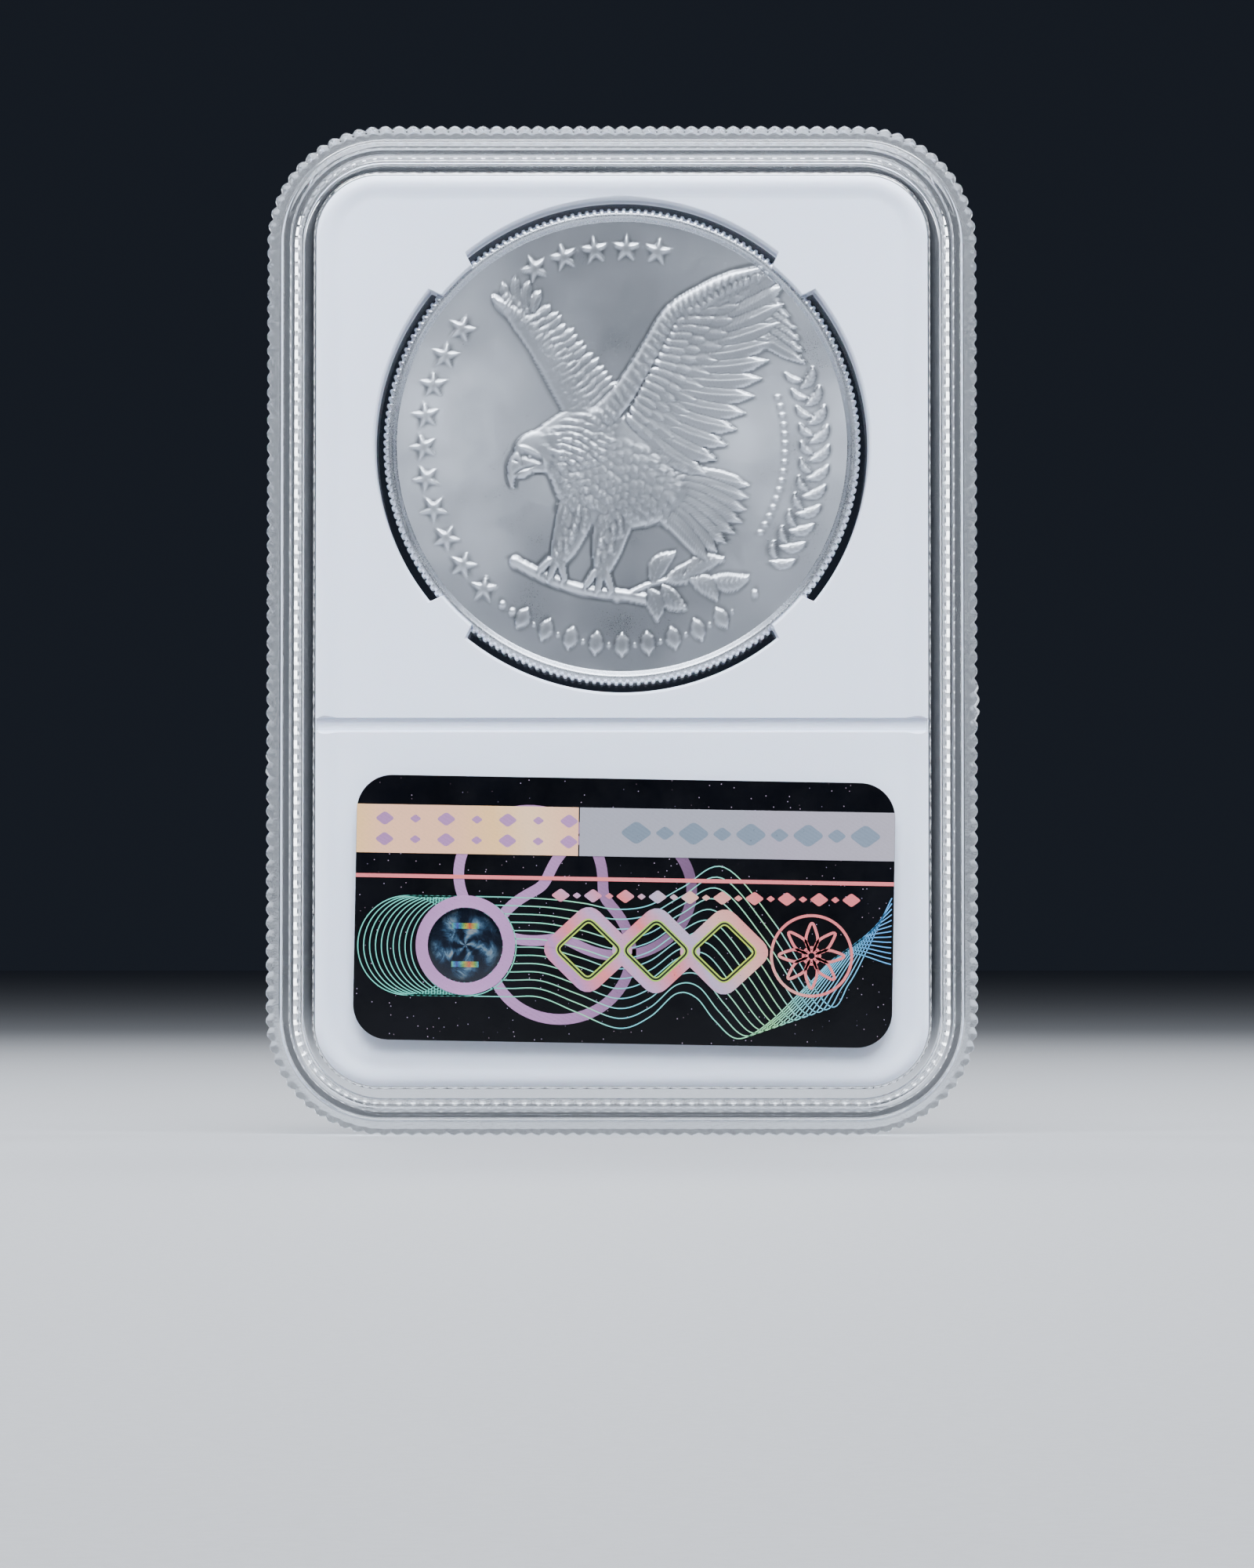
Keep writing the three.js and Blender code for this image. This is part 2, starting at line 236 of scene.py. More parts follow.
def capped_loft(rings, sharp_angle=35.0, name="loft"):
    """A closed solid from a stack of rings, with its first and last ring filled."""
    size, count = len(rings[0]), len(rings)
    points = np.vstack(rings)
    faces = loft(rings)
    faces.append(list(range(size))[::-1])
    faces.append(list(range(size * (count - 1), size * count)))
    return plain_mesh(name, points, faces_outward(points, faces), sharp_angle)


class Outline:
    """A rounded rectangle that stands on y = 0. Its samples lie at the same shares of each side and corner
    whatever the inset, so its rings can be joined to each other."""

    def __init__(self, width, height, radius, low=0.0):
        self.width, self.height, self.radius, self.low = width, height, radius, low
        across, up, arc = width - 2 * radius, height - 2 * radius, radius * math.pi / 2
        self.ends = np.cumsum([across, arc, up, arc, across, arc, up, arc])
        self.stretch = self.share = None

    def sample_evenly(self, corner_steps, side_steps):
        stretch, share = [], []
        for k in range(8):
            steps = corner_steps if k % 2 else side_steps
            stretch += [k] * steps
            share += [i / steps for i in range(steps)]
        self.stretch, self.share = np.array(stretch), np.array(share)
        return self

    def sample_at(self, distances):
        """Distances run from the left end of the lower side."""
        distances = np.mod(distances, self.ends[-1])
        self.stretch = np.searchsorted(self.ends, distances, side="right")
        starts = np.concatenate([[0], self.ends[:-1]])
        self.share = (distances - starts[self.stretch]) / (self.ends - starts)[self.stretch]
        return self

    def ring(self, inset, radius=None, depth=0.0):
        """Points at an inset, each moved a further depth inwards."""
        radius = self.radius - inset if radius is None else radius
        half, low, high = self.width / 2 - inset, self.low + inset, self.low + self.height - inset
        corners = [(half - radius, low + radius), (half - radius, high - radius)]
        corners += [(radius - half, high - radius), (radius - half, low + radius)]
        points = np.zeros((len(self.share), 2))
        inward = np.zeros_like(points)
        for k in range(8):
            pick = self.stretch == k
            share = self.share[pick][:, None]
            corner = np.array(corners[k // 2])
            if k % 2:
                angle = (k // 2 - 1 + share) * math.pi / 2
                out = np.hstack([np.cos(angle), np.sin(angle)])
            else:
                before = np.array(corners[k // 2 - 1])
                turn = (k // 2 - 1) * math.pi / 2
                out = np.array([[math.cos(turn), math.sin(turn)]]).repeat(len(share), 0)
                corner = before + (corner - before) * share
            points[pick] = corner + radius * out
            inward[pick] = -out
        return points + inward * np.reshape(depth, (-1, 1))


def rounded_plate(name, width, height, radius, levels, middle=(0, 0), corner_steps=16):
    """A flat plate with rounded corners, from (inset, height) levels up its side."""
    outline = Outline(width, height, radius, -height / 2).sample_evenly(corner_steps, 1)
    rings = [at_height(outline.ring(inset) + np.array(middle), level) for inset, level in levels]
    return capped_loft(rings, name=name)


def turned_mesh(name, section, steps, centre=(0, 0)):
    """A closed ring turned about z, from the (radius, height) points of its section."""
    angle = np.arange(steps) * TURN / steps
    round_it = np.column_stack([np.cos(angle), np.sin(angle)])
    rings = [at_height(radius * round_it + np.array(centre), height) for radius, height in section]
    points = np.vstack(rings)
    return plain_mesh(name, points, faces_outward(points, loft(rings, closed=True)))


# --- node trees that repeat things or run along lines ---------------------------------------------------


def add_node(tree, kind, inputs=None, **settings):
    """A node with its settings and inputs. An input is given by name or number, as a value or as a socket."""
    node = tree.nodes.new(kind)
    for key, value in settings.items():
        setattr(node, key, value)
    for key, value in (inputs or {}).items():
        if isinstance(value, bpy.types.NodeSocket):
            tree.links.new(value, node.inputs[key])
        else:
            node.inputs[key].default_value = value
    return node


def new_shape_tree(name, inputs):
    """A geometry tree with named inputs, given as {name: socket type}."""
    tree = bpy.data.node_groups.new(name, "GeometryNodeTree")
    tree.interface.new_socket("Geometry", in_out="INPUT", socket_type="NodeSocketGeometry")
    for key, kind in inputs.items():
        tree.interface.new_socket(key, in_out="INPUT", socket_type=kind)
    tree.interface.new_socket("Geometry", in_out="OUTPUT", socket_type="NodeSocketGeometry")
    return tree, tree.nodes.new("NodeGroupInput").outputs


def end_shape_tree(tree, geometry, material):
    real = add_node(tree, "GeometryNodeRealizeInstances", {"Geometry": geometry})
    coloured = add_node(tree, "GeometryNodeSetMaterial", {"Geometry": real.outputs[0], "Material": material})
    add_node(tree, "NodeGroupOutput", {"Geometry": coloured.outputs[0]})
    return tree


def run_shape_tree(piece, tree, values):
    """Runs the tree on the piece with the named values, and keeps the result as a plain mesh."""
    modifier = piece.modifiers.new(tree.name, "NODES")
    modifier.node_group = tree
    for item in tree.interface.items_tree:
        if item.in_out == "INPUT" and item.name in values:
            modifier[item.identifier] = values[item.name]
    piece.update_tag()
    bake_modifiers(piece)
    return piece


def ribbon_tree(material):
    """Sweeps a flat ribbon along every line of edges."""
    tree, given = new_shape_tree("Ribbons", {"Ribbon width": "NodeSocketFloat", "Ribbon thickness": "NodeSocketFloat"})
    lines = add_node(tree, "GeometryNodeMeshToCurve", {"Mesh": given["Geometry"]})
    level = add_node(tree, "GeometryNodeSetCurveNormal", {"Curve": lines.outputs[0]}, mode="Z_UP")
    section = add_node(
        tree,
        "GeometryNodeCurvePrimitiveQuadrilateral",
        {"Width": given["Ribbon width"], "Height": given["Ribbon thickness"]},
    )
    swept = add_node(
        tree,
        "GeometryNodeCurveToMesh",
        {"Curve": level.outputs[0], "Profile Curve": section.outputs[0], "Fill Caps": True},
    )
    return end_shape_tree(tree, swept.outputs[0], material)


def ring_of_copies_tree(name, material):
    """Stands copies of the piece's own mesh in a circle, each turned to face outwards."""
    tree, given = new_shape_tree(name, {"Copies": "NodeSocketInt", "Ring radius": "NodeSocketFloat"})
    circle = add_node(
        tree, "GeometryNodeMeshCircle", {"Vertices": given["Copies"], "Radius": given["Ring radius"]}
    )
    index = add_node(tree, "GeometryNodeInputIndex")
    step = add_node(tree, "ShaderNodeMath", {0: TURN, 1: given["Copies"]}, operation="DIVIDE")
    angle = add_node(tree, "ShaderNodeMath", {0: index.outputs[0], 1: step.outputs[0]}, operation="MULTIPLY")
    turn = add_node(tree, "ShaderNodeCombineXYZ", {"Z": angle.outputs[0]})
    copies = add_node(
        tree,
        "GeometryNodeInstanceOnPoints",
        {"Points": circle.outputs[0], "Instance": given["Geometry"], "Rotation": turn.outputs[0]},
    )
    return end_shape_tree(tree, copies.outputs[0], material)


def row_of_copies_tree(name, material):
    """Lays copies of the piece's own mesh in a grid, with every second one smaller."""
    inputs = {"Columns": "NodeSocketInt", "Rows": "NodeSocketInt"}
    inputs |= {"Row length": "NodeSocketFloat", "Column length": "NodeSocketFloat", "Small share": "NodeSocketFloat"}
    tree, given = new_shape_tree(name, inputs)
    grid = add_node(
        tree,
        "GeometryNodeMeshGrid",
        {
            "Size X": given["Row length"],
            "Size Y": given["Column length"],
            "Vertices X": given["Columns"],
            "Vertices Y": given["Rows"],
        },
    )
    index = add_node(tree, "GeometryNodeInputIndex")
    row = add_node(tree, "ShaderNodeMath", {0: index.outputs[0], 1: given["Rows"]}, operation="DIVIDE")
    whole = add_node(tree, "ShaderNodeMath", {0: row.outputs[0]}, operation="FLOOR")
    odd = add_node(tree, "ShaderNodeMath", {0: whole.outputs[0], 1: 2.0}, operation="MODULO")
    size = add_node(
        tree, "ShaderNodeMapRange", {"Value": odd.outputs[0], "To Min": 1.0, "To Max": given["Small share"]}
    )
    copies = add_node(
        tree,
        "GeometryNodeInstanceOnPoints",
        {"Points": grid.outputs[0], "Instance": given["Geometry"], "Scale": size.outputs[0]},
    )
    return end_shape_tree(tree, copies.outputs[0], material)


def line_mesh(name, lines):
    """A mesh of edges from lines of (x, y, z) points in millimetres. A line that ends where it starts is closed."""
    points, edges = [], []
    for line in lines:
        line = np.asarray(line, float)
        closed = np.allclose(line[0], line[-1])
        first, count = len(points), len(line) - closed
        points += line[:count].tolist()
        edges += [(first + k, first + k + 1) for k in range(count - 1)]
        edges += [(first + count - 1, first)] if closed else []
    mesh = bpy.data.meshes.new(name)
    mesh.from_pydata((np.array(points) * MM).tolist(), edges, [])
    return mesh


def ribbons(name, lines, width, thickness, material):
    """A flat piece of ribbons along the lines, in millimetres, still lying flat."""
    piece = link_piece(name, line_mesh(name, lines))
    run_shape_tree(piece, ribbon_tree(material), {"Ribbon width": width * MM, "Ribbon thickness": thickness * MM})
    piece.data.shade_flat()
    return piece

# --- the coin's relief ----------------------------------------------------------------------------------


def smooth_path(points, steps=6, closed=False):
    """A Catmull-Rom curve through the points."""
    p = np.array(points, float)
    if len(p) < 3:
        return np.array([p[0] + (p[-1] - p[0]) * k / 2 for k in range(3)])
    if closed:
        p = np.vstack([p[-1], p, p[0], p[1]])
    else:
        p = np.vstack([2 * p[0] - p[1], p, 2 * p[-1] - p[-2]])
    t = (np.arange(steps) / steps)[:, None]
    curve = []
    for a, b, c, d in zip(p, p[1:], p[2:], p[3:]):
        curve.append(0.5 * (2 * b + (c - a) * t + (2 * a - 5 * b + 4 * c - d) * t**2 + (3 * b - a - 3 * c + d) * t**3))
    if not closed:
        curve.append(p[-2][None])
    return np.vstack(curve)


class Relief:
    """Heights over a disc, raised stroke by stroke. Places and heights are in millimetres."""

    def __init__(self, x, y):
        self.x, self.y = x, y
        self.h = np.zeros_like(x)

    def near(self, path, reach):
        low, high = path.min(0) - reach, path.max(0) + reach
        inside = (self.x > low[0]) & (self.x < high[0]) & (self.y > low[1]) & (self.y < high[1])
        return np.nonzero(inside)[0]

    def follow(self, pick, path):
        """Distance from the path, and share of the way along it, of each picked point."""
        x, y = self.x[pick], self.y[pick]
        best = np.full(len(pick), 1e9)
        share = np.zeros(len(pick))
        steps = np.linalg.norm(np.diff(path, axis=0), axis=1)
        total, passed = steps.sum(), 0.0
        for (ax, ay), (bx, by), step in zip(path, path[1:], steps):
            dx, dy = (bx - ax) / step, (by - ay) / step
            t = np.clip((x - ax) * dx + (y - ay) * dy, 0, step)
            d = np.hypot(x - ax - dx * t, y - ay - dy * t)
            closer = d < best
            best[closer] = d[closer]
            share[closer] = (passed + t[closer]) / total
            passed += step
        return best, share, total

    def stroke(self, points, widths, level, rise, shaft=0.0, barbs=0.0, pitch=0.3, over=True):
        path = smooth_path(points)
        pick = self.near(path, max(widths))
        d, t, total = self.follow(pick, path)
        w = np.interp(t, np.linspace(0, 1, len(widths)), widths)
        inside = d < w
        pick, d, t, w = pick[inside], d[inside], t[inside], w[inside]
        u = d / w
        new = level + rise * np.sqrt(1 - u * u)
        if shaft:
            new += shaft * np.exp(-((d / 0.09) ** 2))
        if barbs:
            new += barbs * np.sin(2 * np.pi * (t * total - 0.9 * d) / pitch) * (1 - u**4)
        self.h[pick] = new if over else np.maximum(self.h[pick], new)

    def feather(self, root, tip, width, level, bend=0.0, rise=0.065, barbs=0.01):
        root, tip = np.array(root, float), np.array(tip, float)
        across = np.array([root[1] - tip[1], tip[0] - root[0]])
        middle = (root + tip) / 2 + bend * across
        widths = [w * width for w in (0.55, 0.85, 1, 1, 0.96, 0.8, 0.0)]
        self.stroke([root, middle, tip], widths, level, rise, shaft=0.028, barbs=barbs)

    def blob(self, points, level, rise, edge, closed=True):
        path = smooth_path(points, closed=True)
        path = np.vstack([path, path[:1]])
        pick = self.near(path, 0)
        x, y = self.x[pick], self.y[pick]
        inside = np.zeros(len(pick), bool)
        for (ax, ay), (bx, by) in zip(path, path[1:]):
            if ay != by:
                crosses = (ay > y) != (by > y)
                inside ^= crosses & (x < (bx - ax) * (y - ay) / (by - ay) + ax)
        pick = pick[inside]
        d, _, _ = self.follow(pick, path)
        share = np.clip(d / edge, 0, 1)
        new = level + rise * np.sqrt(1 - (1 - share) ** 2)
        self.h[pick] = np.maximum(self.h[pick], new)
        return pick

    def tuft(self, root, tip, width, rise):
        """A small feather laid on what is there: it swells towards its tip, and then drops."""
        path = smooth_path([root, tip])
        pick = self.near(path, width)
        d, t, _ = self.follow(pick, path)
        w = width * np.interp(t, [0, 0.5, 0.85, 1], [0.7, 1, 0.8, 0.0])
        inside = d < w
        pick = pick[inside]
        self.h[pick] += rise * (0.25 + 0.75 * t[inside]) * np.sqrt(1 - (d[inside] / w[inside]) ** 2)

    def groove(self, points, width, depth):
        path = smooth_path(points)
        pick = self.near(path, width)
        d, _, _ = self.follow(pick, path)
        self.h[pick] -= depth * np.clip(1 - d / width, 0, 1)

    def star(self, x, y, radius, turn, rise):
        dx, dy = self.x - x, self.y - y
        pick = np.nonzero(np.hypot(dx, dy) < radius)[0]
        angle = np.arctan2(dy[pick], dx[pick]) - turn
        fold = np.abs((angle / (2 * np.pi / 5) + 0.5) % 1 - 0.5) * 2 * np.pi / 5
        r = np.hypot(dx[pick], dy[pick])
        # the straight side of a five-pointed star, between a point and the notch beside it
        px, py = r * np.cos(fold), r * np.sin(fold)
        notch = 0.42 * radius
        nx, ny = notch * math.cos(math.pi / 5), notch * math.sin(math.pi / 5)
        length = math.hypot(radius - nx, ny)
        depth = ((radius - px) * ny - py * (radius - nx)) / length
        inside = depth > 0
        pick = pick[inside]
        self.h[pick] = np.maximum(self.h[pick], rise * np.clip(depth[inside] / 0.22, 0, 1) ** 0.6)

    def bead(self, x, y, radius, rise):
        d = np.hypot(self.x - x, self.y - y)
        inside = d < radius
        self.h[inside] = np.maximum(self.h[inside], rise * np.sqrt(1 - (d[inside] / radius) ** 2))


def polar(radius, degrees):
    a = math.radians(degrees)
    return np.array([radius * math.cos(a), radius * math.sin(a)])


def between(a, b, share):
    return np.array(a, float) + (np.array(b, float) - np.array(a, float)) * share


def leaf(r, root, tip, width, level, bend=0.15):
    root, tip = np.array(root, float), np.array(tip, float)
    across = np.array([root[1] - tip[1], tip[0] - root[0]])
    middle = (root + tip) / 2 + bend * across
    widths = [w * width for w in (0.1, 0.7, 1, 0.9, 0.55, 0.0)]
    r.stroke([root, middle, tip], widths, level, 0.07, shaft=0.03, barbs=0.012, pitch=0.45)


def far_wing(r, rng):
    tips = [(-10.9, 12.9), (-10.2, 14.0), (-9.1, 14.5), (-7.9, 14.1), (-6.9, 13.2)]
    for k, tip in enumerate(tips):
        r.feather(between((-9.4, 11.2), (-7.6, 11.6), k / 4), tip, 0.44, 0.02 + 0.008 * k, bend=0.08)
    for k in range(15):
        s = k / 14
        root = between((-8.0, 11.0), (-3.4, 3.4), s)
        tip = between((-5.9, 12.0), (0.1, 4.9), s) + rng.uniform(-0.15, 0.15, 2)
        r.feather(root, tip, 0.4, 0.03 + 0.01 * s, bend=-0.1, rise=0.05)
    for k in range(15):
        s = k / 14
        root = between((-8.4, 10.8), (-4.0, 3.2), s)
        tip = between((-6.9, 11.3), (-1.5, 4.5), s) + rng.uniform(-0.1, 0.1, 2)
        r.feather(root, tip, 0.36, 0.07, bend=-0.1, rise=0.045)
    arm = [(-3.3, 2.4), (-5.2, 5.7), (-7.0, 8.6), (-9.0, 11.0), (-11.0, 12.7)]
    r.stroke(arm, [1.25, 1.2, 1.05, 0.8, 0.15], 0.08, 0.1, over=False)
    scale_feathers(r, arm, 1.1, 30, 6, rng)


def scale_feathers(r, spine, half_wide, rows, across, rng):
    """Small overlapping feathers along an arm, in offset rows that lean away from its leading edge."""
    path = smooth_path(spine)
    for row in range(rows):
        share = (row + 0.5) / rows * (len(path) - 2)
        here, after = path[int(share)], path[int(share) + 1]
        along = (after - here) / np.linalg.norm(after - here)
        side = np.array([along[1], -along[0]])
        narrow = half_wide * (1 - 0.6 * (row + 0.5) / rows)
        for k in range(across):
            off = (2 * (k + 0.5 * (row % 2)) / across - 0.8) * narrow
            root = here + (after - here) * (share % 1) + off * side + rng.uniform(-0.06, 0.06, 2)
            r.tuft(root, root + 0.62 * side - 0.3 * along, 0.24, 0.035)


def near_wing(r, rng):
    count = 9
    for k in range(count):
        s = k / (count - 1)
        root = between((10.2, 14.2), (5.4, 11.2), s)
        r.feather(root, polar(18.3 - 1.1 * s * s, 51 - 27 * s), 0.72, 0.06 + 0.006 * k, bend=0.07)
    count = 13
    for k in range(count):
        s = k / (count - 1)
        root = between((5.4, 10.8), (1.2, 1.6), s)
        arc = math.radians(28 - 62 * s)
        reach = 9.9 - 2.6 * s
        tip = root + reach * np.array([math.cos(arc), math.sin(arc)])
        r.feather(root, tip, 0.74, 0.11 + 0.003 * k, bend=-0.05)
    for row, (reach, level, width) in enumerate([(4.9, 0.17, 0.6), (3.2, 0.205, 0.5), (1.9, 0.235, 0.42)]):
        count = 18 + 3 * row
        for k in range(count):
            s = k / (count - 1)
            if s < 0.35:
                root = between((9.6, 13.7), (5.1, 11.5), s / 0.35)
                aim = math.radians(22 - 12 * s / 0.35)
                length = reach * (0.72 + 0.28 * s / 0.35)
            else:
                f = (s - 0.35) / 0.65
                root = between((5.1, 11.2), (0.6, 2.4), f)
                aim = math.radians(10 - 52 * f)
                length = reach * (1 - 0.15 * f)
            tip = root + length * np.array([math.cos(aim), math.sin(aim)])
            r.feather(root, tip, width, level, rise=0.045, barbs=0.005)
    arm = [(-2.2, 1.8), (0.2, 4.6), (2.4, 8.2), (4.2, 11.2), (6.6, 13.0), (9.6, 14.5), (12.4, 15.3)]
    r.stroke(arm, [1.1, 0.95, 0.8, 0.75, 0.6, 0.45, 0.1], 0.2, 0.12, over=False)
    scale_feathers(r, arm, 1.0, 30, 5, rng)


def tail(r):
    for k in range(8):
        s = k / 7
        aim = math.radians(-6 - 38 * s)
        root = between((3.2, -2.6), (2.0, -4.6), s)
        tip = root + (8.2 - 1.2 * abs(s - 0.4)) * np.array([math.cos(aim), math.sin(aim)])
        r.feather(root, tip, 0.75, 0.07 + 0.01 * (1 - abs(2 * s - 1)) + 0.006 * k, bend=0.05)


def body(r, rng):
    outline = [(-7.9, 0.5), (-6.4, 2.0), (-4.0, 3.3), (-0.8, 3.1), (2.2, 0.6), (4.6, -2.2), (5.6, -4.0),
               (3.6, -6.2), (0.2, -7.0), (-3.2, -6.4), (-5.3, -4.6), (-6.0, -2.9), (-6.6, -2.0)]
    r.blob(outline, 0.1, 0.2, 2.6)
    # small feathers lie from the neck towards the tail, in offset rows
    for row in range(15):
        for k in range(9):
            along = (k + 0.5 * (row % 2)) / 9
            start = between((-6.3, 1.2), (-4.9, -3.9), along)
            end = between((5.2, -2.2), (3.4, -6.0), along)
            root = between(start, end, row / 15) + rng.uniform(-0.12, 0.12, 2)
            root[1] += 1.2 * math.sin(math.pi * row / 15) * (1 - 1.6 * along)
            aim = math.radians(-24 - 26 * along + rng.uniform(-9, 9))
            r.tuft(root, root + 1.25 * np.array([math.cos(aim), math.sin(aim)]), 0.36, 0.055)


def nape(r, rng):
    """Pointed hackles over the neck and the shoulder, and soft feathers on the breast."""
    for row in range(11):
        for k in range(8):
            along = (k + 0.5 * (row % 2)) / 8
            start, end = between((-6.4, 1.4), (-5.9, -2.0), along), between((-0.4, 2.6), (-2.4, -1.2), along)
            root = between(start, end, row / 11)
            aim = math.radians(-2 - 34 * along + rng.uniform(-9, 9))
            root[1] += 0.9 * math.sin(math.pi * row / 11) * (1 - along)
            r.tuft(root + rng.uniform(-0.1, 0.1, 2), root + 1.1 * polar(1, math.degrees(aim)), 0.26, 0.04)
    for row in range(6):
        for k in range(5):
            root = between(between((-6.4, -1.8), (-5.0, -4.6), row / 6), between((-3.6, -2.0), (-3.0, -5.8), row / 6), k / 5)
            r.tuft(root + rng.uniform(-0.15, 0.15, 2), root + 0.95 * polar(1, -62 + rng.uniform(-12, 12)), 0.28, 0.045)


def leg(r, hip, knee, ankle, toes, rng):
    r.stroke([hip, knee, ankle], [1.7, 1.6, 1.4, 1.15, 0.75], 0.12, 0.17, over=False)
    for k in range(40):
        s = (k + 0.5) / 40
        middle = between(hip, knee, s * 1.5) if s < 0.66 else between(knee, ankle, (s - 0.66) * 3)
        side = rng.uniform(-1.0, 1.0) * (1.2 - 0.6 * s)
        root = middle + np.array([side, 0.2])
        r.tuft(root, root + np.array([0.18 * side, -0.95]), 0.3, 0.05)
    foot = np.array(ankle, float)
    for tip in toes:
        tip = np.array(tip, float)
        bow = (foot + tip) / 2 + np.array([0, 0.3])
        r.stroke([foot, bow, tip], [0.36, 0.34, 0.3, 0.26], 0.2, 0.12, over=False)
        claw = tip + np.array([-0.18, -0.62])
        r.stroke([tip, between(tip, claw, 0.5) + np.array([-0.12, 0]), claw], [0.24, 0.17, 0.02], 0.2, 0.12, over=False)


def head(r, rng):
    r.blob([(-9.2, -0.3), (-8.5, 0.8), (-7.2, 1.3), (-5.8, 0.8), (-5.3, -0.8), (-6.1, -2.1), (-7.6, -2.2), (-8.8, -1.5)],
           0.14, 0.19, 1.6)
    # hooked beak with its cere, a line between the mandibles, and a heavy brow over the sunken eye
    r.blob([(-8.7, -0.3), (-9.4, -0.8), (-9.75, -1.8), (-9.6, -3.0), (-9.25, -3.6), (-9.05, -2.7), (-8.4, -2.1),
            (-8.0, -1.4)], 0.16, 0.15, 0.65)
    r.blob([(-8.9, -2.1), (-8.85, -2.7), (-8.3, -2.7), (-7.6, -2.1), (-8.1, -1.8)], 0.12, 0.12, 0.4)
    r.groove([(-9.1, -2.35), (-8.6, -2.0), (-7.5, -1.7)], 0.16, 0.1)
    r.groove([(-8.75, -0.5), (-8.5, -1.0), (-8.45, -1.6)], 0.16, 0.06)
    r.groove([(-9.15, -1.15), (-8.95, -1.3)], 0.16, 0.1)
    for k in range(44):
        angle = rng.uniform(-80, 85)
        root = np.array([-7.1, -0.6]) + rng.uniform(0.4, 1.9) * polar(1, angle)
        aim = math.radians(angle * 0.5 - 28)
        r.tuft(root, root + 0.8 * np.array([math.cos(aim), math.sin(aim)]), 0.2, 0.024)
    r.groove([(-8.3, -0.75), (-7.7, -0.95), (-7.1, -1.2)], 0.42, 0.14)
    r.stroke([(-8.7, -0.05), (-7.9, -0.3), (-7.0, -0.75)], [0.1, 0.24, 0.24, 0.08], 0.3, 0.08, over=False)
    r.bead(-7.85, -0.88, 0.2, 0.34)


def branch(r):
    r.stroke([(-9.2, -9.8), (-6.4, -11.2), (-3.2, -12.3), (0.2, -12.7), (3.4, -13.3)], [0.42, 0.46, 0.4, 0.42, 0.46],
             0.05, 0.16, over=False)
    for x, y in [(-9.0, -9.9), (-0.4, -12.7), (3.2, -13.25)]:
        r.bead(x, y, 0.55, 0.2)
    r.stroke([(0.4, -12.7), (2.6, -11.7), (5.4, -11.2), (8.4, -11.3)], [0.22, 0.18, 0.14, 0.1], 0.05, 0.12, over=False)
    for root, tip, bend in [((2.6, -11.8), (4.6, -9.0), 0.15), ((3.6, -11.5), (6.7, -9.3), -0.12),
                            ((5.2, -11.2), (8.8, -9.6), 0.12), ((7.4, -11.3), (11.0, -11.1), -0.12),
                            ((5.8, -11.3), (8.2, -13.2), 0.15), ((3.4, -11.8), (5.6, -13.9), -0.12),
                            ((2.2, -12.1), (3.0, -14.9), 0.1)]:
        leaf(r, root, tip, 0.78, 0.06, bend)


def rear_legend(r):
    # stars where the long legend would be, beads, then a sprig of leaves, and lozenges below
    for k in range(17):
        angle = 226 - 9.15 * k
        if abs(angle - 128) < 11:
            continue
        r.star(*polar(16.9, angle), 1.3, math.radians(angle), 0.15)
    for k in range(9):
        angle = 250 + 7.5 * k - 10
        p = polar(16.9, angle)
        out = polar(1, angle)
        r.stroke([p - 0.95 * out, p + 0.95 * out], [0.05, 0.5, 0.62, 0.5, 0.05], 0.02, 0.12, over=False)
        r.bead(*(p + 3.75 * polar(1, angle + 90) * 0.29), 0.16, 0.09)
    for k in range(11):
        angle = -38 + 5.6 * k
        leaf(r, polar(16.0, angle), polar(17.7, angle + 5), 0.42, 0.05, -0.15)
        leaf(r, polar(16.3, angle + 2), polar(15.2, angle + 6.5), 0.3, 0.04, 0.15)
    for angle in (233, -48, 236.5):
        r.bead(*polar(16.9, angle), 0.32, 0.12)
    for k in range(16):
        r.bead(*polar(13.9, -32 + 3.3 * k), 0.26, 0.09)


def rear_face(x, y):
    r = Relief(x, y)
    rng = np.random.default_rng(11)
    rear_legend(r)
    far_wing(r, rng)
    branch(r)
    tail(r)
    near_wing(r, rng)
    leg(r, (-0.6, -5.6), (-1.2, -8.4), (-1.7, -10.5), [(-2.9, -11.7), (-2.0, -12.2), (-0.9, -12.3)], rng)
    leg(r, (-3.6, -4.8), (-4.6, -7.8), (-5.4, -9.7), [(-6.9, -10.5), (-6.1, -11.1), (-4.9, -11.3)], rng)
    body(r, rng)
    nape(r, rng)
    head(r, rng)
    return 0.95 * r.h


FACE_RADIUS = 19.25


def disc_grid(cells, radius):
    """A square grid drawn out into a disc, with cells of equal area."""
    side = np.linspace(-1, 1, cells + 1)
    u, v = (a.ravel() for a in np.meshgrid(side, side))
    wide = np.abs(u) > np.abs(v)
    safe_u = np.where(u == 0, 1, u)
    safe_v = np.where(v == 0, 1, v)
    r = np.where(wide, u, v)
    angle = np.where(wide, np.pi / 4 * v / safe_u, np.pi / 2 - np.pi / 4 * u / safe_v)
    angle = np.where((u == 0) & (v == 0), 0, angle)
    return radius * r * np.cos(angle), radius * r * np.sin(angle)


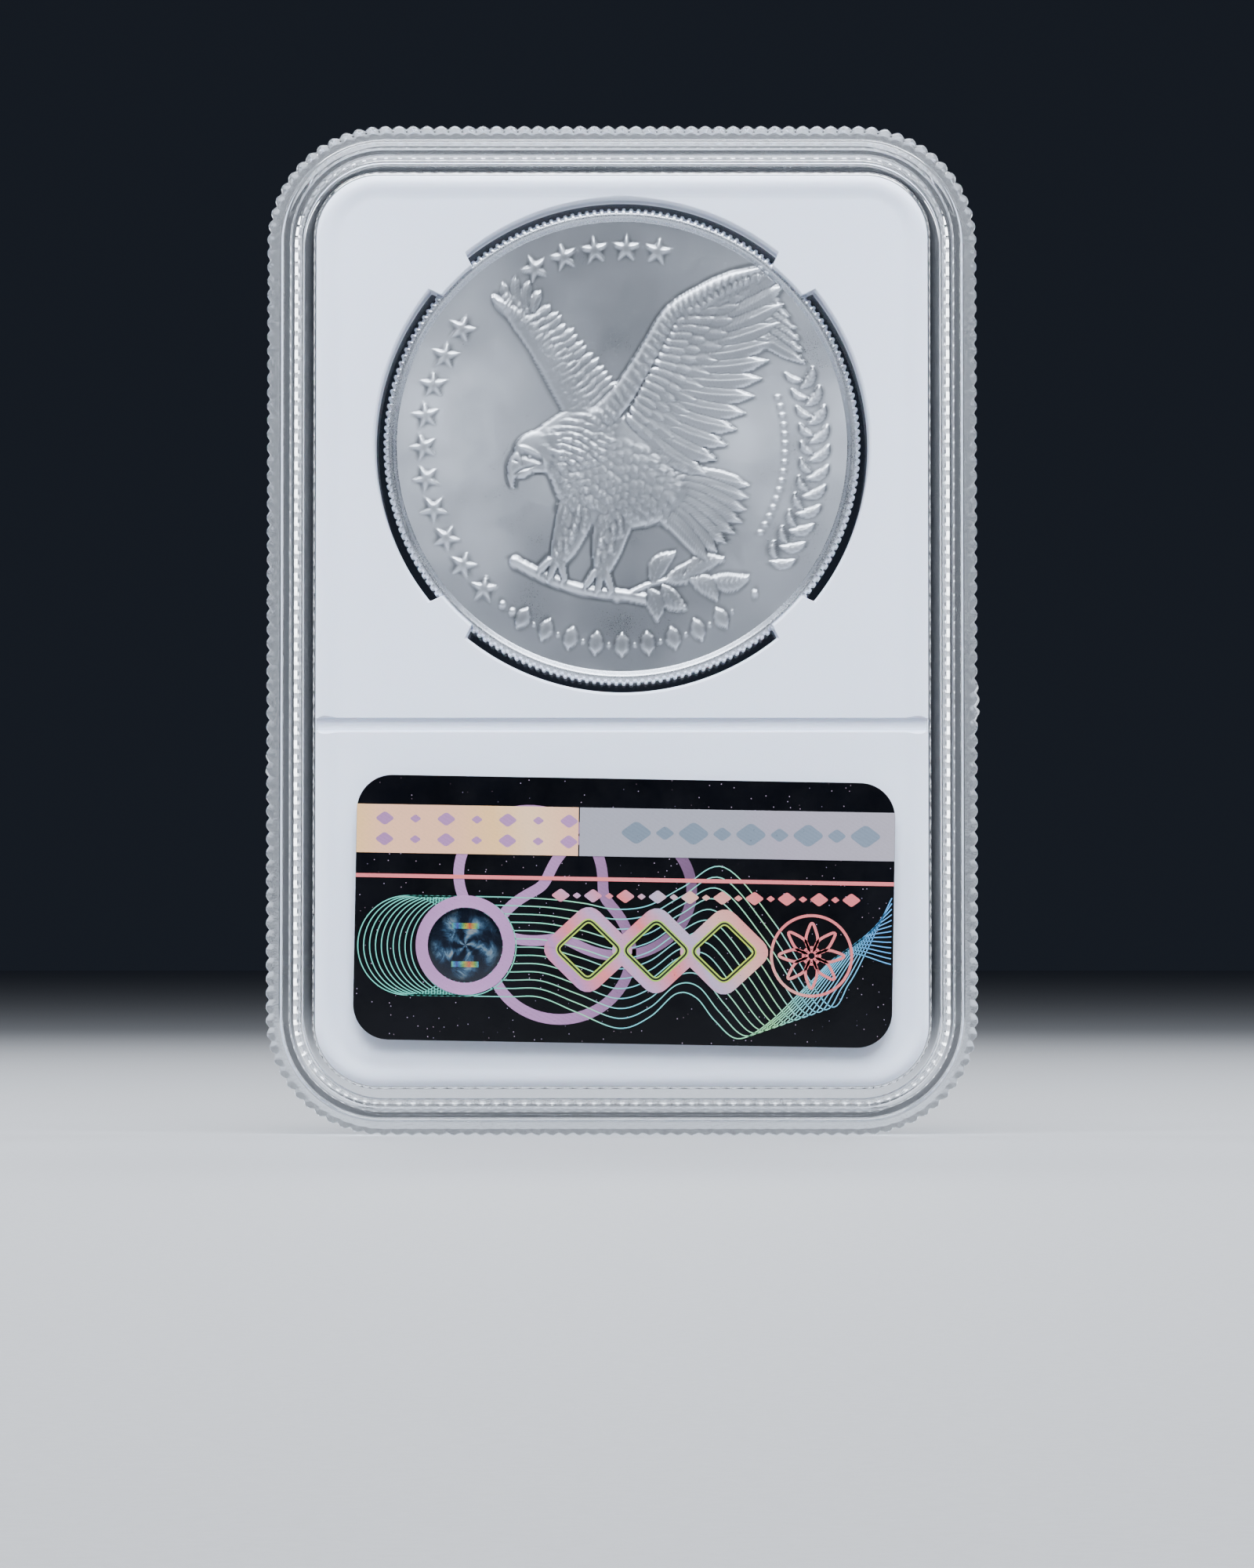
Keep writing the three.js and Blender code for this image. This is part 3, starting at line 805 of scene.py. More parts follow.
def front_face(x, y):
    """The other face: a plain sun with straight and wavy rays, inside a wreath and a ring of stars."""
    r = Relief(x, y)
    for k in range(48):
        angle = 7.5 * k
        reach = (12.6, 9.6, 11.2, 9.6)[k % 4]
        wide = (0.52, 0.3, 0.42, 0.3)[k % 4]
        r.stroke([polar(4.2, angle), polar(reach, angle)], [wide, wide * 0.8, 0.02], 0.02, 0.14, over=False)
    r.blob([polar(4.4, 20 * k) for k in range(18)], 0.1, 0.14, 1.2)
    r.blob([polar(3.3, 30 * k) for k in range(12)], 0.2, 0.1, 2.6)
    for k in range(36):
        r.bead(*polar(3.75, 10 * k), 0.2, 0.3)
    for side in (1, -1):
        for k in range(22):
            angle = -90 + side * (7 + 7.3 * k)
            leaf(r, polar(14.3, angle), polar(15.3, angle + side * 8), 0.48, 0.05, 0.12 * side)
            leaf(r, polar(14.1, angle + side * 2), polar(13.0, angle + side * 9), 0.42, 0.04, -0.12 * side)
    ring = [polar(14.2, 12 * k + 12) for k in range(30)]
    r.stroke(ring + ring[:1], [0.13, 0.13], 0.05, 0.1, over=False)
    for k in range(36):
        if k % 3:
            r.bead(*polar(17.5, 10 * k), 0.3, 0.12)
        else:
            r.star(*polar(17.5, 10 * k), 1.0, math.radians(10 * k), 0.15)
    return r.h


# --- the two clear shells and their weld ----------------------------------------------------------------

SEAM = 0.05
FLUTE_STEPS = 6
FLANGE_DROP = 0.9
WINDOW_DROP = 0.7
RIB_LOW, RIB_HIGH = 34.3, 35.2
RIB_DROP = 0.5
RIB_REACH = 25.9

# (inset from the edge, height under the ridge's top, share of the flutes), from the window out to the edge
FACE_PROFILE = (
    (3.14, 0.70, 0), (3.03, 0.675, 0), (2.95, 0.60, 0), (2.73, 0.13, 0), (2.65, 0.04, 0), (2.52, 0.0, 0),
    (2.17, 0.0, 0), (2.13, 0.05, 0), (2.08, 0.08, 0), (2.03, 0.05, 0), (1.99, 0.0, 0), (1.58, 0.0, 0),
    (1.46, 0.04, 0), (1.38, 0.15, 0), (1.19, 0.82, 0), (1.10, 0.9, 0), (0.52, 0.9, 0), (0.17, 0.9, 1),
    (0.05, 0.95, 1), (0.0, 1.07, 1),
)
# (inset, height over the seam's middle), from the edge in across the joint face
EDGE_PROFILE = ((0.0, 0.12), (0.07, SEAM))
BEAD_CHANNEL = ((1.08, SEAM), (1.12, 0.22), (1.58, 0.22), (1.62, SEAM))
GROOVE = ((2.2, SEAM), (2.2, 0.93), (2.27, 1.0), (3.03, 1.0), (3.1, 0.93), (3.1, SEAM))
TONGUE = ((2.3, SEAM), (2.33, -0.82), (2.42, -0.9), (2.88, -0.9), (2.97, -0.82), (3.0, SEAM))
CAVITY_INSET, CAVITY_CORNER = 3.9, 5.6
SLAB_WIDTH, SLAB_HEIGHT = 60.3, 85.7
RIM_HAZE = 0.022
CAVITY_FILLET = ((0.0, 0.3), (0.04, 0.15), (0.13, 0.04), (0.3, 0.0))


def fluted_outline(settings):
    """The holder's outline, and how far each of its samples is cut in at full flute depth."""
    outline = Outline(settings.width / MM, settings.height / MM, settings.corner / MM)
    number = np.arange(settings.flutes * FLUTE_STEPS) / FLUTE_STEPS
    middle_of_lower_side = outline.width / 2 - outline.radius
    outline.sample_at(middle_of_lower_side + (number + 0.5) * outline.ends[-1] / settings.flutes)
    cut = settings.flute_depth / MM * (1 - np.sin(math.pi * (number % 1)))
    return outline, cut


def clear_shell(name, settings, joint):
    """One half of the holder, drawn as a rear half."""
    outline, cut = fluted_outline(settings)
    top, ceiling = settings.half / MM, settings.cavity / MM
    rings = [at_height(outline.ring(inset, depth=cut * share), top - drop) for inset, drop, share in FACE_PROFILE]
    rings += [at_height(outline.ring(inset, depth=cut), height) for inset, height in EDGE_PROFILE]
    rings += [at_height(outline.ring(inset), height) for inset, height in BEAD_CHANNEL + joint]
    rings.append(at_height(outline.ring(CAVITY_INSET, CAVITY_CORNER), SEAM))
    for inward, drop in CAVITY_FILLET:
        rings.append(at_height(outline.ring(CAVITY_INSET + inward, CAVITY_CORNER - inward), ceiling - drop))
    size = len(rings[0])
    faces = loft(rings)
    faces.append(list(range(size))[::-1])
    # the inside of the window goes round the rib in two halves and a corner at each end
    last = size * (len(rings) - 1)
    inner = rings[-1]
    gap = np.abs(inner[:, 1] - (RIB_LOW + RIB_HIGH) / 2)
    right = int(np.argmin(gap + 1e3 * (inner[:, 0] < 0)))
    left = int(np.argmin(gap + 1e3 * (inner[:, 0] > 0)))
    first = size * len(rings)
    corners = [(-RIB_REACH, RIB_LOW), (RIB_REACH, RIB_LOW), (RIB_REACH, RIB_HIGH), (-RIB_REACH, RIB_HIGH)]
    rib = [(x, y, ceiling) for x, y in corners]
    inset = 0.06
    rib += [(x - math.copysign(inset, x), y + (inset if y == RIB_LOW else -inset), ceiling - RIB_DROP) for x, y in corners]
    low_left, low_right, high_right, high_left = range(first, first + 4)
    upper = [last + (right + k) % size for k in range((left - right) % size + 1)]
    lower = [last + (left + k) % size for k in range((right - left) % size + 1)]
    faces.append(upper + [high_left, high_right])
    faces.append(lower + [low_right, low_left])
    faces.append([last + right, high_right, low_right])
    faces.append([last + left, low_left, high_left])
    for k in range(4):
        after = (k + 1) % 4
        faces.append([first + k, first + after, first + 4 + after, first + 4 + k])
    faces.append([first + 4 + k for k in range(4)])
    points = np.vstack(rings + [np.array(rib)])
    piece = link_piece(name, plain_mesh(name, points, faces_outward(points, faces), 30.0))
    weigh_normals(piece)
    return piece


FLASH_SEED = 5
# (x side, height, half length, how far it stands out) of the two places where the weld ran out
FLASH_BULGES = ((1, 36.4, 2.4, 0.42), (-1, 31.2, 1.6, 0.3))


def weld_line(name, settings):
    """The weld's bead and the thin web of melted plastic that runs out to the edge and just past it."""
    outline, cut = fluted_outline(settings)
    edge = outline.ring(0.0)
    rng = np.random.default_rng(FLASH_SEED)
    share = np.arange(len(edge)) / len(edge) * TURN
    ragged = np.zeros(len(edge))
    for waves in (3, 7, 16, 29, 53, 97, 181):
        ragged += rng.uniform(0.4, 1) * np.sin(waves * share + rng.uniform(0, TURN)) / waves**0.3
    ragged = np.clip(ragged, 0, None) ** 1.5 * 0.035
    bulge = np.zeros(len(edge))
    for side, height, half, out in FLASH_BULGES:
        near = np.clip(1 - np.abs(edge[:, 1] - height) / half, 0, 1) * (edge[:, 0] * side > 0)
        lumps = 0.75 + 0.25 * np.sin(near * 9 + edge[:, 1] * 2.1)
        bulge = np.maximum(bulge, out * np.sqrt(near) * lumps)
    out = ragged + bulge - cut * 0.85
    thick = 0.02 + 0.55 * bulge + 0.3 * ragged
    half = SEAM - 0.005

    def section(inset, height, move=0.0):
        return np.column_stack([outline.ring(inset, depth=move), np.full(len(edge), 1.0) * height])

    upper = [section(1.5, 0.17), section(1.2, 0.17), section(1.11, half), section(0.45, half)]
    upper += [section(0.0, half, np.maximum(0.02, 0.02 - 0.4 * out) + cut * 0.9), section(0.0, half + thick, 0.02 - 0.55 * out)]
    lower = [ring * np.array([1, 1, -1]) for ring in upper[::-1]]
    rings = [section(1.58, 0.0)] + upper + [section(0.0, 0.0, -out)] + lower
    points = np.vstack(rings)
    return link_piece(name, plain_mesh(name, points, faces_outward(points, loft(rings, closed=True)), 50.0))


# --- the white insert -----------------------------------------------------------------------------------

INSERT_FACE = 2.12
PRONG_HALF_ANGLE, PRONG_SIDE = 5.0, 1.0
COIN_MIDDLE = 58.5
GRIP_RADIUS, GRIP_HALF = 20.42, 1.57
LABEL_MIDDLE = 19.1
LABEL_FLOOR = 1.95
BORDER_STEP = 0.18
INSERT_PROFILE = ((2.2, 0.0), (1.95, 0.05), (1.65, 0.28), (1.35, 0.68), (1.12, 0.93), (0.95, 1.0), (0.8, 1.0))


def border_profile(half):
    """(inset, height) from the rear face round to the front face."""
    upper = [(inset, half - BORDER_STEP * (1 - share)) for inset, share in INSERT_PROFILE]
    for k in range(1, 8):
        angle = k / 7 * math.pi / 2
        upper.append((0.8 * (1 - math.sin(angle)), half - 0.8 * (1 - math.cos(angle))))
    return upper + [(inset, -height) for inset, height in upper[::-1]]


def opening_radius(angle, opening, prong):
    """Radius of the opening at each angle: prongs with rounded roots stand in at the four diagonals."""
    off = np.degrees(np.abs((angle % (math.pi / 2)) - math.pi / 4))
    share = np.clip((off - PRONG_HALF_ANGLE) / PRONG_SIDE, 0, 1)
    return prong + (opening - prong) * share * share * (3 - 2 * share)


def cutter_from_rings(rings):
    cutter = link_piece("cutter", capped_loft(rings))
    return cutter


def cut_away(piece, cutters):
    """Cuts the closed cutters out of the piece, and throws them away."""
    for cutter in cutters:
        modifier = piece.modifiers.new("Cut", "BOOLEAN")
        modifier.operation = "DIFFERENCE"
        modifier.solver = "EXACT"
        modifier.object = cutter
    bake_modifiers(piece)
    for cutter in cutters:
        bpy.data.objects.remove(cutter, do_unlink=True)


def prong_insert(name, shells, settings):
    margin = settings.inset / MM
    outline = Outline(shells.width / MM - 2 * margin, shells.height / MM - 2 * margin, settings.corner / MM, margin)
    outline.sample_evenly(24, 1)
    rings = [at_height(outline.ring(inset), height) for inset, height in border_profile(settings.half / MM)]
    piece = link_piece(name, capped_loft(rings))
    angle = np.arange(1440) * TURN / 1440
    radius = opening_radius(angle, settings.opening / MM, settings.prong / MM)
    round_it = np.column_stack([np.cos(angle), np.sin(angle)])
    centre = np.array([0, COIN_MIDDLE])
    lip = ((3.0, 0.32), (INSERT_FACE + 0.03, 0.32), (INSERT_FACE - 0.05, 0.18), (INSERT_FACE - 0.18, 0.06),
           (INSERT_FACE - 0.36, 0.0))
    levels = lip + tuple((-height, wider) for height, wider in lip[::-1])
    opening = [at_height((radius + wider)[:, None] * round_it + centre, height) for height, wider in levels]
    grip = [at_height((GRIP_RADIUS - inset) * round_it[::4] + centre, height)
            for inset, height in ((0.3, GRIP_HALF), (0, GRIP_HALF - 0.25), (0, 0.25 - GRIP_HALF), (0.3, -GRIP_HALF))]
    cutters = [cutter_from_rings(opening), cutter_from_rings(grip)]
    low, high = RIB_LOW - 0.12, RIB_HIGH + 0.12
    for side in (1, -1):
        rings = []
        for height, wider in ((1.74, 0), (2.08, 0), (2.3, 0.2), (3.0, 0.2)):
            corners = [(-27, low - wider), (27, low - wider), (27, high + wider), (-27, high + wider)]
            rings.append(at_height(np.array(corners, float), side * height))
        cutters.append(cutter_from_rings(rings))
    recess = rounded_plate("cutter", 49.7, 26.7, 2.55, ((-0.2, -3.0), (-0.2, -INSERT_FACE - 0.01), (0, -2.05),
                           (0, -LABEL_FLOOR)), (0, LABEL_MIDDLE))
    cutters.append(link_piece("cutter", recess))
    cut_away(piece, cutters)
    piece.data.set_sharp_from_angle(angle=math.radians(38))
    weigh_normals(piece)
    return piece


# --- the coin -------------------------------------------------------------------------------------------

RIDGE_RANGE = 0.11
RAISED_HEIGHT = 0.05


def local_mean(grid, reach):
    """The mean of the grid's values over a square round each place."""
    size = 2 * reach + 1
    for axis in (0, 1):
        widths = [(0, 0), (0, 0)]
        widths[axis] = (reach + 1, reach)
        total = np.cumsum(np.pad(grid, widths, mode="edge"), axis=axis)
        ahead = np.take(total, range(size, total.shape[axis]), axis=axis)
        behind = np.take(total, range(total.shape[axis] - size), axis=axis)
        grid = (ahead - behind) / size
    return grid


def coin_face_mesh(name, paint, settings):
    """A struck face: a disc of even cells raised by its relief, closed to a puck. Each point keeps how far
    it stands over its surroundings, and whether it belongs to the relief or to the field."""
    cells = settings.cells
    x, y = disc_grid(cells, FACE_RADIUS)
    field = settings.field / MM
    relief = paint(x, y)
    height = field + relief
    square = relief.reshape(cells + 1, cells + 1)
    # how far each point stands over its surroundings, which the silver turns into painted shade and painted highlights
    ridge = np.clip(0.5 + (square - local_mean(square, 3)) / RIDGE_RANGE, 0, 1).ravel()
    raised = np.clip(local_mean(square, 1).ravel() / RAISED_HEIGHT, 0, 1)
    across = cells + 1
    number = np.arange(across * across).reshape(across, across)
    a, b, c, d = number[:-1, :-1], number[:-1, 1:], number[1:, 1:], number[1:, :-1]
    faces = np.stack([a, b, c, d], axis=-1).reshape(-1, 4).tolist()
    rim = np.concatenate([number[0, :-1], number[:-1, -1], number[-1, :0:-1], number[:0:-1, 0]])
    points = np.column_stack([x, y, height])
    points[rim, 2] = field
    low = points[rim] * np.array([1, 1, 0]) + np.array([0, 0, 0.02])
    first = len(points)
    size = len(rim)
    for k in range(size):
        after = (k + 1) % size
        faces.append([int(rim[after]), int(rim[k]), first + k, first + after])
    faces.append([first + k for k in range(size)][::-1])
    points = np.vstack([points, low]) + np.array([0, COIN_MIDDLE, 0])
    mesh = plain_mesh(name, points, faces, 60.0)
    for key, values, rest in (("ridge", ridge, 0.5), ("raised", raised, 0.0)):
        attribute = mesh.attributes.new(key, "FLOAT", "POINT")
        attribute.data.foreach_set("value", np.concatenate([values, np.full(size, rest)]).astype(np.float32))
    return mesh


def coin_rim_mesh(name, settings):
    radius, half, field = settings.radius / MM, settings.half / MM, settings.field / MM
    side = radius - 0.19
    upper = [(side, half - 0.27), (side - 0.05, half - 0.2), (radius - 0.4, half - 0.03), (radius - 0.47, half)]
    upper += [(radius - 0.68, half), (radius - 0.76, half - 0.03), (radius - 0.86, half - 0.12)]
    upper += [(radius - 1.0, field + 0.1), (radius - 1.1, field + 0.015), (radius - 1.2, field - 0.05)]
    section = upper + [(r, -z) for r, z in upper[::-1]]
    return turned_mesh(name, section, 1200, (0, COIN_MIDDLE))


def coin_reeds(name, settings, material):
    """Reeds along the edge, set round it by a node tree from one small rounded bar."""
    radius, half = settings.radius / MM, settings.half / MM
    rings = []
    for out, height in ((-0.36, half - 0.005), (-0.06, half - 0.15), (0.0, half - 0.24), (0.0, 0.24 - half),
                        (-0.06, 0.15 - half), (-0.36, 0.005 - half)):
        corners = [(-0.5, -0.19), (out - 0.1, -0.17), (out, -0.09), (out, 0.09), (out - 0.1, 0.17), (-0.5, 0.19)]
        rings.append(at_height(np.array(corners), height))
    piece = link_piece(name, capped_loft(rings, 50.0))
    tree = ring_of_copies_tree("Reeds round the edge", material)
    run_shape_tree(piece, tree, {"Copies": settings.reeds, "Ring radius": settings.radius})
    piece.data.transform(Matrix.Translation((0, COIN_MIDDLE * MM, 0)))
    return piece


# --- the hologram sticker -------------------------------------------------------------------------------

WINDOW_FACE = 3.3
STICKER_MIDDLE = (0.2, 18.95)
STICKER_TURN = math.radians(-1)
LIFT = 0.01


def lay_on_window(piece):
    """Moves a piece drawn in the sticker's own frame, from the film's underside up, on to the rear window."""
    place = Matrix.Translation((STICKER_MIDDLE[0] * MM, STICKER_MIDDLE[1] * MM, (WINDOW_FACE + LIFT) * MM))
    piece.data.transform(place @ Matrix.Rotation(STICKER_TURN, 4, "Z"))
    stand_up(piece)


def sticker_place(u, v):
    """A place on the sticker as (x, height) of the upright slab, for the centre of a pattern."""
    turned = Matrix.Rotation(STICKER_TURN, 2) @ Vector((u, v))
    return (STICKER_MIDDLE[0] + turned.x, STICKER_MIDDLE[1] + turned.y)


def security_lines(count):
    """Wavy lines that run right from the seal. Each lies between the top line and the bottom line."""
    top = [(-12.6, 1.02), (-9.6, 1.0), (-6.4, 0.9), (-3.4, 0.6), (-0.8, 0.15), (2.0, 0.5), (4.9, 2.1), (8.4, 3.85),
           (12.8, -0.9), (17.3, -7.6), (19.1, -5.8), (20.6, -2.9), (21.6, -0.7), (22.62, 1.5)]
    bottom = [(-12.6, -7.4), (-9.6, -7.4), (-7.0, -7.4), (-3.9, -8.6), (-0.3, -9.9), (2.3, -8.9), (4.5, -6.9),
              (6.2, -7.2), (7.8, -9.1), (9.8, -10.6), (12.4, -9.2), (15.4, -6.2), (18.6, -3.3), (22.62, -4.1)]
    lines = []
    for k in range(count):
        share = k / (count - 1)
        blend = np.array(top) + (np.array(bottom) - np.array(top)) * share
        path = smooth_path(blend.tolist(), 9)
        lines.append(np.column_stack([path, np.full(len(path), 0.0)]))
    return lines


def circle_line(u, v, radius, steps=72):
    angle = np.arange(steps + 1) / steps * TURN
    return np.column_stack([u + radius * np.cos(angle), v + radius * np.sin(angle), np.zeros(steps + 1)])


def closed_line(corners, rounding=0.0, steps=5):
    """A closed line round the corners, each rounded off by the given share of its sides."""
    corners = np.array(corners, float)
    path = []
    for before, here, after in zip(np.roll(corners, 1, 0), corners, np.roll(corners, -1, 0)):
        if not rounding:
            path.append(here)
            continue
        start, end = here + (before - here) * rounding, here + (after - here) * rounding
        for k in range(steps + 1):
            t = k / steps
            path.append(start * (1 - t) ** 2 + here * 2 * t * (1 - t) + end * t * t)
    path.append(path[0])
    path = np.array(path)
    return np.column_stack([path, np.zeros(len(path))])


def raised(lines, height):
    return [line + np.array([0, 0, height]) for line in lines]


def lozenge(u, v, half_wide, half_tall):
    return [(u + half_wide, v), (u, v + half_tall), (u - half_wide, v), (u, v - half_tall)]


def flat_shape_mesh(name, corners, low, high):
    """A flat shape with the given corners, from one height up to another."""
    corners = np.array(corners, float)
    return capped_loft([at_height(corners, low), at_height(corners, high)], name=name)


def film_outline(settings, inset=0.0):
    width, height = settings.width / MM, settings.height / MM
    outline = Outline(width, height, settings.corner / MM, -height / 2).sample_evenly(16, 1)
    return outline.ring(inset)


def stripe_mesh(name, left, right, low, high, bottom, top):
    """A foil stripe with slightly eased edges."""
    rings = []
    for inset, level in ((0.0, bottom), (0.0, top - 0.012), (0.014, top)):
        corners = [(left + inset, low + inset), (right - inset, low + inset), (right - inset, high - inset),
                   (left + inset, high - inset)]
        rings.append(at_height(np.array(corners), level))
    return capped_loft(rings, name=name)

# --- materials ----------------------------------------------------------------------------------------


class Finish:
    """A material in the making: its Principled shader, and patterns in millimetres on Object coordinates."""

    def __init__(self, name, **values):
        self.material = bpy.data.materials.new(name)
        self.material.use_nodes = True
        self.tree = self.material.node_tree
        self.tree.nodes.clear()
        self.shader = add_node(self.tree, "ShaderNodeBsdfPrincipled")
        self.output = add_node(self.tree, "ShaderNodeOutputMaterial", {"Surface": self.shader.outputs[0]})
        for key, value in values.items():
            self.shader.inputs[key.replace("_", " ")].default_value = value

    def add(self, kind, inputs=None, **settings):
        return add_node(self.tree, kind, inputs, **settings)

    def set(self, name, value):
        if isinstance(value, bpy.types.NodeSocket):
            self.tree.links.new(value, self.shader.inputs[name])
        else:
            self.shader.inputs[name].default_value = value

    def places(self, centre=(0, 0), turn=0.0, stretch=(1, 1, 1)):
        """Object coordinates in millimetres, measured from a centre given as (x, height)."""
        source = self.add("ShaderNodeTexCoord").outputs["Object"]
        moved = self.add(
            "ShaderNodeVectorMath",
            {0: source, 1: (centre[0] * MM, 0.0, centre[1] * MM)},
            operation="SUBTRACT",
        )
        turned = self.add(
            "ShaderNodeMapping",
            {
                "Vector": moved.outputs[0],
                "Rotation": (0, turn, 0),
                "Scale": tuple(s / MM for s in stretch),
            },
        )
        return turned.outputs[0]

    def noise(self, vector, scale, detail=2.0, roughness=0.5, distortion=0.0):
        inputs = {"Vector": vector, "Scale": scale, "Detail": detail, "Roughness": roughness, "Distortion": distortion}
        return self.add("ShaderNodeTexNoise", inputs).outputs["Fac"]

    def spread(self, value, low, high, to_low=0.0, to_high=1.0):
        inputs = {"Value": value, "From Min": low, "From Max": high, "To Min": to_low, "To Max": to_high}
        return self.add("ShaderNodeMapRange", inputs).outputs[0]

    def ramp(self, value, stops, interpolation="LINEAR"):
        node = self.add("ShaderNodeValToRGB", {"Fac": value})
        node.color_ramp.interpolation = interpolation
        elements = node.color_ramp.elements
        while len(elements) < len(stops):
            elements.new(1.0)
        for element, (place, shade) in zip(elements, stops):
            element.position = place
            element.color = (*shade, 1.0)
        return node.outputs[0]

    def math(self, operation, a, b=0.0):
        return self.add("ShaderNodeMath", {0: a, 1: b}, operation=operation).outputs[0]

    def mix(self, share, a, b):
        node = self.add("ShaderNodeMix", data_type="RGBA")
        for key, value in ((0, share), (6, a), (7, b)):
            if isinstance(value, bpy.types.NodeSocket):
                self.tree.links.new(value, node.inputs[key])
            else:
                node.inputs[key].default_value = value if key == 0 else (*value[:3], 1.0)
        return node.outputs[2]

    def split(self, vector):
        return self.add("ShaderNodeSeparateXYZ", {0: vector}).outputs

    def bump(self, height, strength, distance, after=None):
        inputs = {"Height": height, "Strength": strength, "Distance": distance * MM}
        if after is not None:
            inputs["Normal"] = after
        normal = self.add("ShaderNodeBump", inputs).outputs[0]
        self.set("Normal", normal)
        return normal


def shade(colour, factor):
    return tuple(min(1.0, c * factor) for c in colour[:3])


def clear_plastic(name, tint, roughness):
    """Clear moulded plastic with faint flow marks and hairline scuffs, a little milky where it is thick at the
    rim. Lamps shine through it."""
    finish = Finish(
        name, Base_Color=(*tint, 1.0), Roughness=roughness, IOR=1.53, Transmission_Weight=1.0
    )
    places = finish.places()
    flow = finish.noise(places, 0.06, 2.0)
    finish.bump(flow, 0.25, 0.12)
    scuff_places = finish.places(turn=0.5, stretch=(0.25, 1, 2.4))
    scuffs = finish.noise(scuff_places, 0.9, 4.0, 0.7)
    finish.set("Roughness", finish.spread(scuffs, 0.62, 0.78, roughness, roughness + 0.06))
    x, _, up = finish.split(finish.places((0, SLAB_HEIGHT / 2)))
    corner_x, corner_up = (half - CAVITY_INSET - CAVITY_CORNER for half in (SLAB_WIDTH / 2, SLAB_HEIGHT / 2))
    across = finish.math("MAXIMUM", finish.math("SUBTRACT", finish.math("ABSOLUTE", x), corner_x), 0.0)
    along = finish.math("MAXIMUM", finish.math("SUBTRACT", finish.math("ABSOLUTE", up), corner_up), 0.0)
    squares = finish.math("ADD", finish.math("MULTIPLY", across, across), finish.math("MULTIPLY", along, along))
    past_window = finish.math("SUBTRACT", finish.math("SQRT", squares), CAVITY_CORNER)
    finish.set("Transmission Weight", finish.spread(past_window, 0.0, 0.8, 1.0, 1.0 - RIM_HAZE))
    path = finish.add("ShaderNodeLightPath")
    lets_through = finish.add("ShaderNodeBsdfTransparent", {"Color": (*shade(tint, 0.97), 1.0)})
    both = finish.add(
        "ShaderNodeMixShader", {0: path.outputs["Is Shadow Ray"], 1: finish.shader.outputs[0], 2: lets_through.outputs[0]}
    )
    finish.tree.links.new(both.outputs[0], finish.output.inputs["Surface"])
    return finish.material


def cloudy_plastic(tint):
    """Plastic that has melted and set again: clear between the shells, cloudy with fine bubbles where it ran out."""
    finish = Finish("melted clear plastic", Base_Color=(*tint, 1.0), IOR=1.5)
    places = finish.places()
    bubbles = finish.noise(places, 2.6, 3.0, 0.7)
    outside = finish.spread(finish.math("ABSOLUTE", finish.split(places)[0]), SLAB_WIDTH / 2 - 0.3, SLAB_WIDTH / 2 + 0.1)
    finish.set("Transmission Weight", finish.spread(outside, 0.0, 1.0, 0.93, 0.6))
    least = finish.spread(outside, 0.0, 1.0, 0.04, 0.18)
    finish.set("Roughness", finish.math("ADD", least, finish.spread(bubbles, 0.35, 0.7, 0.0, 0.2)))
    finish.bump(bubbles, 0.5, 0.05)
    return finish.material


def white_plastic(tint):
    """Smooth white moulding: a fine spark-eroded grain and a barely uneven tone."""
    finish = Finish("white moulded plastic", Roughness=0.42, IOR=1.49, Subsurface_Weight=0.12, Subsurface_Scale=0.0009)
    places = finish.places()
    cloud = finish.noise(places, 0.045, 2.0)
    grain = finish.noise(places, 7.0, 2.0, 0.6)
    tone = finish.mix(finish.spread(cloud, 0.3, 0.7), shade(tint, 0.975), shade(tint, 1.02))
    finish.set("Base Color", tone)
    finish.set("Roughness", finish.spread(grain, 0.3, 0.7, 0.36, 0.5))
    finish.bump(grain, 0.18, 0.01)
    return finish.material


